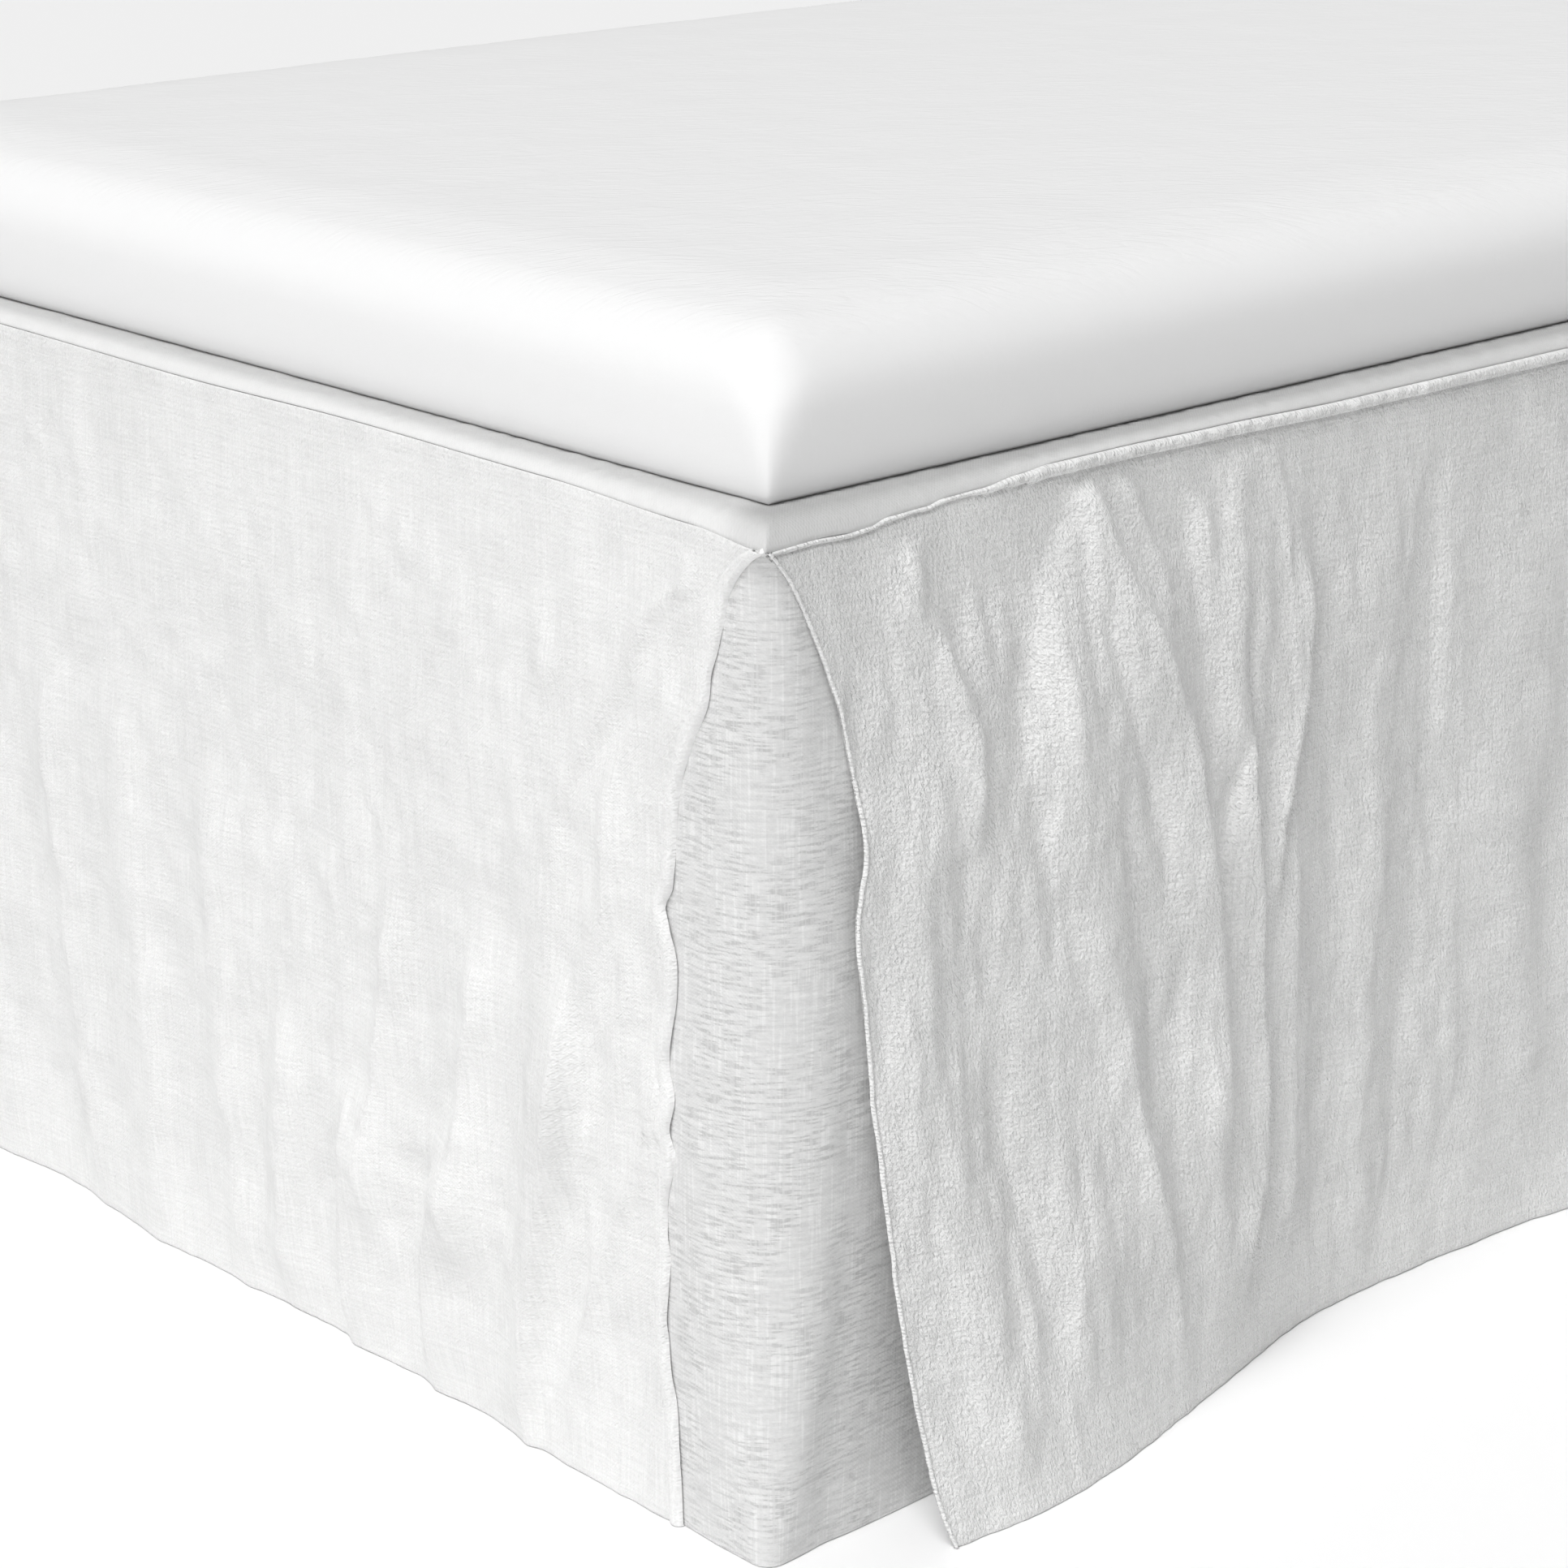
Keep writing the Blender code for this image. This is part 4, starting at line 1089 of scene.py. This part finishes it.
def make_gusset(word, side, material):
    """The strip behind the split of one foot corner: side is 1 on the right, -1 on the left."""
    alongs = run(-GUSSET_REACH, -GUSSET_CORNER, GUSSET_STEP)
    alongs += run(-GUSSET_CORNER, GUSSET_CORNER, GUSSET_CORNER_STEP)
    alongs += run(GUSSET_CORNER, GUSSET_REACH, GUSSET_STEP) + [GUSSET_REACH]
    levels = list(HEM_LINES) + run(0.006, SKIRT_DROP, GUSSET_ROW_STEP) + [SKIRT_DROP]
    rows = len(levels)
    bm, cells = sheet_grid(len(alongs), rows)
    on_cloth, on_hem = {}, {}
    for (column, row), vertex in cells.items():
        along = alongs[column]
        seam = SIDE_SEAM if along > 0.0 else FOOT_SEAM
        top = seam_height(seam, abs(along)) - DECK_TUCK - LAYER_GAP
        height = levels[row] / SKIRT_DROP * top
        plan, outward = round_corner(along, read_curve(GUSSET_ROUNDS, height))
        ripple = sum(fold_out(fold, along, height) for fold in GUSSET_FOLDS)
        high = ease((height - 0.34) / 0.08) * ease((0.49 - height) / 0.06)
        ripple += 0.00035 * high * wave(along * 14.0, height * 95.0, 7.0 * side)
        ripple += 0.00040 * wave(along * 40.0, height * 12.0, 9.0 + side)
        vertex.co = plan + (ripple + 0.0003) * outward
        vertex.co.z = hang_height(height)
        vertex.co.x *= side
        on_cloth[vertex] = (along, height)
        on_hem[vertex] = (GUSSET_REACH - abs(along), top - height)
    outward = Vector((side, -1.0, 0.0))
    node = f"{word}_corner_gusset"
    made = add_cloth(
        f"sheer_{node}", bm, outward, on_cloth, on_hem, material, "sheer_linen", node,
    )
    give_thickness(made, GUSSET_CLOTH)
    return made


def deck_lines(half, near_reach):
    """Lines across the deck from one edge to the other, as (place, share of the roll, drop
    past the roll). Each edge rolls down to the seam, then turns in behind the panel."""
    outer = half + PANEL_OUT - 0.0003
    turns = [DECK_TURN * index / 9 for index in range(10)]
    widest = math.sin(DECK_TURN)
    roll = [(outer - DECK_ROLL * (1.0 - math.sin(t) / widest), t, 0.0) for t in turns]
    tucked = half + GUSSET_OUT
    lip = [(outer - 0.0003, DECK_TURN, 0.0003), (outer - 0.0012, DECK_TURN, 0.0006)]
    lip += [(tucked, DECK_TURN, 0.0010), (tucked, DECK_TURN, DECK_TUCK)]
    flat = outer - DECK_ROLL
    inner = run(-flat, flat - near_reach, DECK_FAR_STEP)[1:]
    inner += run(flat - near_reach, flat, DECK_NEAR_STEP)
    ends = roll + lip
    return [(-p, t, d) for p, t, d in reversed(ends)] + [(p, 0.0, 0.0) for p in inner] + ends


def deck_drop(seam, turn, past):
    """How far the deck's edge has sunk: at the end of its roll it reaches the seam."""
    share = (1.0 - math.cos(turn)) / (1.0 - math.cos(DECK_TURN))
    return (seam - 0.0003) * share + past


def make_deck(material):
    """The flat cloth under the topper, rolled down at both sides and at the foot."""
    middle_y = (FOOT_Y + HEAD_Y) / 2
    half_length = BED_LENGTH / 2
    across = deck_lines(HALF_WIDTH, DECK_SIDE_REACH)
    lengths = [(-p, t, d) for p, t, d in reversed(deck_lines(half_length, DECK_END_REACH))]
    lengths = [row for row in lengths if row[0] < half_length - 0.020]
    lengths.append((half_length - 0.010, 0.0, 0.0))
    lengths.append((half_length, 0.0, 0.0))
    bm, cells = sheet_grid(len(across), len(lengths))
    on_cloth, on_hem = {}, {}
    for (column, row), vertex in cells.items():
        x, side_turn, side_past = across[column]
        y, foot_turn, foot_past = lengths[row]
        side_drop = deck_drop(read_table(SIDE_SEAM, y + half_length), side_turn, side_past)
        foot_drop = deck_drop(read_table(FOOT_SEAM, HALF_WIDTH - x), foot_turn, foot_past)
        from_side = HALF_WIDTH - abs(x)
        from_foot = y + half_length
        inner = min(from_side, from_foot)
        strip = ease(1.0 - (inner - STRIP_WIDTH) / STRIP_WIDTH) * ease((inner + 0.0045) / 0.003)
        pull = from_foot if from_side < from_foot else x
        lean = pull - 0.9 * inner
        pucker = wave(lean * 150.0, inner * 40.0, 3.0) + 0.6 * wave(lean * 320.0, inner * 60.0, 8.0)
        lift = PUCKER_RISE * strip * pucker
        vertex.co = (x, middle_y + y, DECK_TOP - max(side_drop, foot_drop) + lift)
        on_cloth[vertex] = (x + HALF_WIDTH, from_foot)
        on_hem[vertex] = (inner, 0.0)
    outward = Vector((0.0, 0.0, 1.0))
    made = add_cloth(
        "linen_deck", bm, outward, on_cloth, on_hem, material, "linen", "skirt_deck",
    )
    give_thickness(made, DECK_CLOTH)
    return made


# ---------------------------------------------------------------- bed


def divided_box(lines):
    """A box whose faces are cut at the given places along x, y and z."""
    bm = bmesh.new()
    bmesh.ops.create_cube(bm, size=2.0)
    for axis, places in enumerate(lines):
        edges = [edge for edge in bm.edges if edge.verts[0].co[axis] != edge.verts[1].co[axis]]
        bmesh.ops.subdivide_edges(bm, edges=edges, cuts=len(places) - 2, use_grid_fill=True)
    for vertex in bm.verts:
        for axis, places in enumerate(lines):
            index = round((vertex.co[axis] + 1.0) / 2.0 * (len(places) - 1))
            vertex.co[axis] = places[index]
    return bm


def box_lines(half, radius, step):
    """Places from -half to half: close together in the rounded ends, a step apart between."""
    ends = [half - radius * (1.0 - math.sin(math.radians(turn))) for turn in range(0, 91, 15)]
    inner = run(-ends[0], ends[0], step)[1:] if ends[0] > step else []
    return sorted({round(place, 6) for place in [-end for end in ends] + inner + ends})


def soften(place, half, rounds):
    """Moves a point of a box's surface to the box with rounded edges."""
    core = [max(min(p, h - r), r - h) for p, h, r in zip(place, half, rounds)]
    away = Vector([(p - c) / r for p, c, r in zip(place, core, rounds)]).normalized()
    return Vector([c + a * r for c, a, r in zip(core, away, rounds)])


def make_topper(material):
    """The topper in its sheet: a low crown, sides that round over, and a flat underside."""
    half = (TOPPER_HIGH - TOPPER_LOW) / 2 - Vector((TOPPER_BULGE, TOPPER_BULGE, TOPPER_CROWN / 2))
    lines = [box_lines(h, r, step) for h, r, step in zip(half, TOPPER_ROUNDS, TOPPER_STEPS)]
    bm = divided_box(lines)
    for vertex in bm.verts:
        top = ease(0.5 + 0.7 * vertex.co.z / half.z)
        rounds = [low + (high - low) * top for low, high in zip(TOPPER_FOOT_ROUNDS, TOPPER_ROUNDS)]
        rounds[2] = TOPPER_ROUNDS[2] if vertex.co.z > 0.0 else TOPPER_FOOT_ROUNDS[2]
        place = soften(vertex.co, half, rounds)
        share_x, share_y, level = (p / h for p, h in zip(place, half))
        bulge = TOPPER_BULGE * (1.0 - max(level, 0.0) ** 2)
        place.x += bulge * share_x ** 5
        place.y += bulge * share_y ** 5
        crown = TOPPER_CROWN * (1.0 - share_x ** 4) * (1.0 - share_y ** 4)
        uneven = 0.0005 * wave(place.x * 26.0, place.y * 22.0, 5.0)
        inner = min(half.x - abs(place.x), half.y - abs(place.y))
        shoulder = TOPPER_SHOULDER * ease(inner / 0.075) - TOPPER_SHOULDER
        place.z += (crown + uneven + shoulder) * max(level, 0.0)
        vertex.co = place
    middle = (TOPPER_LOW + TOPPER_HIGH) / 2
    bmesh.ops.translate(bm, vec=(middle.x, middle.y, TOPPER_LOW.z + half.z), verts=bm.verts)
    floor = [face for face in bm.faces if face.calc_center_median().z < TOPPER_LOW.z + 0.0002]
    bmesh.ops.dissolve_faces(bm, faces=floor)
    bmesh.ops.recalc_face_normals(bm, faces=bm.faces)
    made = add_piece("topper_in_sheet", bm, material, "sheet_cotton", "mattress_topper")
    return made


def make_base(material):
    """The padded base, its edges softly rounded."""
    half = (BASE_HIGH - BASE_LOW) / 2
    lines = [box_lines(h, r, BASE_STEP) for h, r in zip(half, BASE_ROUNDS)]
    bm = divided_box(lines)
    for vertex in bm.verts:
        vertex.co = soften(vertex.co, half, BASE_ROUNDS)
    bmesh.ops.translate(bm, vec=(BASE_LOW + BASE_HIGH) / 2, verts=bm.verts)
    bmesh.ops.recalc_face_normals(bm, faces=bm.faces)
    return add_piece("upholstered_base", bm, material, "base_cloth", "bed_base")


def make_leg(node, wood):
    """One turned leg in the place of its CAD node."""
    low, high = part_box(node)
    height = high.z - low.z
    top = (high.x - low.x) / 2
    bm = bmesh.new()
    profile = ((0.0, 0.0), (0.74 * top, 0.0), (0.80 * top, 0.004), (top, height - 0.003),
               (0.96 * top, height), (0.0, height))
    points = [bm.verts.new((radius, 0.0, z)) for radius, z in profile]
    edges = [bm.edges.new(pair) for pair in zip(points, points[1:])]
    bmesh.ops.spin(
        bm, geom=points + edges, axis=(0, 0, 1), cent=(0, 0, 0), angle=2 * math.pi, steps=LEG_SIDES,
        use_merge=True, use_duplicate=False,
    )
    bmesh.ops.remove_doubles(bm, verts=bm.verts, dist=1e-6)
    bmesh.ops.translate(bm, vec=((low.x + high.x) / 2, (low.y + high.y) / 2, low.z), verts=bm.verts)
    bmesh.ops.recalc_face_normals(bm, faces=bm.faces)
    made = add_piece(f"turned_{node}", bm, wood, "leg_wood", node)
    made.data.set_sharp_from_angle(angle=math.radians(40.0))
    return made


# ---------------------------------------------------------------- stage


def make_camera(studio):
    """The camera, which looks down on the right foot corner."""
    data = bpy.data.cameras.new("camera")
    data.lens = studio.lens
    data.sensor_width = 36.0
    camera = bpy.data.objects.new("camera", data)
    camera.location = (
        FOOT_CORNER[0] + CAMERA_AWAY[0], FOOT_CORNER[1] + CAMERA_AWAY[1], CAMERA_HEIGHT,
    )
    camera.rotation_euler = (math.pi / 2 - studio.pitch, 0.0, studio.heading)
    bpy.context.scene.collection.objects.link(camera)
    bpy.context.scene.camera = camera


def add_light(data, towards):
    """Hangs a light so that it shines from the side that towards points to."""
    light = bpy.data.objects.new(data.name, data)
    light.rotation_mode = "QUATERNION"
    light.rotation_quaternion = towards.to_track_quat("Z", "Y")
    bpy.context.scene.collection.objects.link(light)
    return light


def make_key(studio):
    """A broad soft light from above the foot of the bed."""
    data = bpy.data.lights.new("key", "SUN")
    data.energy = studio.key
    data.angle = studio.key_spread
    flat = math.cos(studio.key_height)
    add_light(data, Vector((
        math.sin(studio.key_turn) * flat, -math.cos(studio.key_turn) * flat,
        math.sin(studio.key_height),
    )))


def make_softbox(studio):
    """A round softbox before the right foot corner, a little above the bed's height."""
    data = bpy.data.lights.new("softbox", "AREA")
    data.energy = studio.softbox
    data.shape = "DISK"
    data.size = SOFTBOX_SIZE
    softbox = add_light(data, SOFTBOX_TOWARDS)
    softbox.location = Vector((*FOOT_CORNER, 0.0)) + SOFTBOX_AWAY
    softbox.visible_camera = False


def make_room(studio):
    """A white room that is brightest overhead."""
    world = bpy.data.worlds.new("room")
    world.use_nodes = True
    tree = world.node_tree
    place = tree.nodes.new("ShaderNodeTexCoord")
    parts = tree.nodes.new("ShaderNodeSeparateXYZ")
    tree.links.new(place.outputs["Generated"], parts.inputs[0])
    up = tree.nodes.new("ShaderNodeMath")
    up.operation = "MULTIPLY"
    tree.links.new(parts.outputs["Z"], up.inputs[0])
    tree.links.new(parts.outputs["Z"], up.inputs[1])
    glow = tree.nodes.new("ShaderNodeMath")
    glow.operation = "MULTIPLY_ADD"
    glow.inputs[1].default_value = studio.ceiling
    glow.inputs[2].default_value = studio.horizon
    tree.links.new(up.outputs[0], glow.inputs[0])
    tree.links.new(glow.outputs[0], tree.nodes["Background"].inputs["Strength"])
    tree.nodes["Background"].inputs["Color"].default_value = (1.0, 1.0, 1.0, 1.0)
    bpy.context.scene.world = world


def make_floor(studio):
    """A plain floor that runs far past the bed."""
    bm = bmesh.new()
    bmesh.ops.create_grid(bm, x_segments=1, y_segments=1, size=FLOOR_REACH)
    mesh = bpy.data.meshes.new("floor")
    bm.to_mesh(mesh)
    bm.free()
    shader = Shader("floor", roughness=0.9)
    shader.surface.inputs["Base Color"].default_value = (*studio.floor, 1.0)
    mesh.materials.append(shader.material)
    floor = bpy.data.objects.new("floor", mesh)
    bpy.context.scene.collection.objects.link(floor)


# ---------------------------------------------------------------- operators


class BEDSKIRT_OT_panels(bpy.types.Operator):
    """Hang the foot panel and the two side panels"""

    bl_idname = "bedskirt.panels"
    bl_label = "Panels"

    def execute(self, context):
        colour = settings().colours.linen
        crisp = linen_material("linen", colour, 0.40, 0.0080, 0.0)
        creped = linen_material("creped_linen", colour, 1.0, 0.0024, 1.0)
        panels = ((foot_panel(), crisp), (right_panel(), creped), (left_panel(), creped))
        for panel, material in panels:
            made = make_panel(panel, material)
            width = FOOT_SPAN if panel.two_corners else SIDE_SPAN
            drop = SKIRT_DROP + PANEL_TURNINGS
            cut_back = EDGE_CUT_BACK * drop * (2 if panel.two_corners else 1)
            width * drop - cut_back
        return {"FINISHED"}


class BEDSKIRT_OT_gussets(bpy.types.Operator):
    """Hang the strips behind the split corners"""

    bl_idname = "bedskirt.gussets"
    bl_label = "Gussets"

    def execute(self, context):
        material = sheer_material("sheer_linen", settings().colours.sheer)
        for side, word in ((1, "right"), (-1, "left")):
            made = make_gusset(word, side, material)
        return {"FINISHED"}


class BEDSKIRT_OT_deck(bpy.types.Operator):
    """Lay the deck of the skirt on the bed base"""

    bl_idname = "bedskirt.deck"
    bl_label = "Deck"

    def execute(self, context):
        made = make_deck(deck_material("deck_linen", settings().colours.linen))
        return {"FINISHED"}


class BEDSKIRT_OT_bed(bpy.types.Operator):
    """Make the topper, the bed base and its legs"""

    bl_idname = "bedskirt.bed"
    bl_label = "Bed"

    def execute(self, context):
        colours = settings().colours
        make_topper(sheet_material("sheet_cotton", colours.sheet))
        make_base(base_material("base_cloth", colours.base))
        wood = wood_material("leg_wood", colours.wood)
        for node in LEG_NODES:
            make_leg(node, wood)
        return {"FINISHED"}


class BEDSKIRT_OT_stage(bpy.types.Operator):
    """Set the camera, the floor and the light"""

    bl_idname = "bedskirt.stage"
    bl_label = "Stage"

    def execute(self, context):
        studio = settings().studio
        make_camera(studio)
        make_key(studio)
        make_softbox(studio)
        make_room(studio)
        make_floor(studio)
        context.scene.view_settings.view_transform = "Standard"
        return {"FINISHED"}


class BEDSKIRT_PT_sidebar(bpy.types.Panel):
    """Lists what the bed skirt is made of"""

    bl_label = "Bed Skirt"
    bl_idname = "BEDSKIRT_PT_sidebar"
    bl_space_type = "VIEW_3D"
    bl_region_type = "UI"
    bl_category = "Bed Skirt"

    def draw(self, context):
        for operator in OPERATORS:
            self.layout.operator(operator.bl_idname)
        for group in (settings().sewing, settings().colours, settings().studio):
            box = self.layout.box()
            for name in group.bl_rna.properties.keys():
                if name not in ("rna_type", "name"):
                    box.prop(group, name)


OPERATORS = (
    BEDSKIRT_OT_stage, BEDSKIRT_OT_panels, BEDSKIRT_OT_gussets, BEDSKIRT_OT_deck,
    BEDSKIRT_OT_bed,
)
CLASSES = (
    SewingSizes, FinishColours, StudioSettings, BedSkirtSettings, *OPERATORS,
    BEDSKIRT_PT_sidebar,
)


def register():
    for cls in CLASSES:
        bpy.utils.register_class(cls)
    bpy.types.Scene.bed_skirt = PointerProperty(type=BedSkirtSettings)


def unregister():
    del bpy.types.Scene.bed_skirt
    for cls in reversed(CLASSES):
        bpy.utils.unregister_class(cls)


def main():
    register()
    bpy.ops.bedskirt.stage()
    bpy.ops.bedskirt.panels()
    bpy.ops.bedskirt.gussets()
    bpy.ops.bedskirt.deck()
    bpy.ops.bedskirt.bed()


if __name__ == "__main__":
    main()
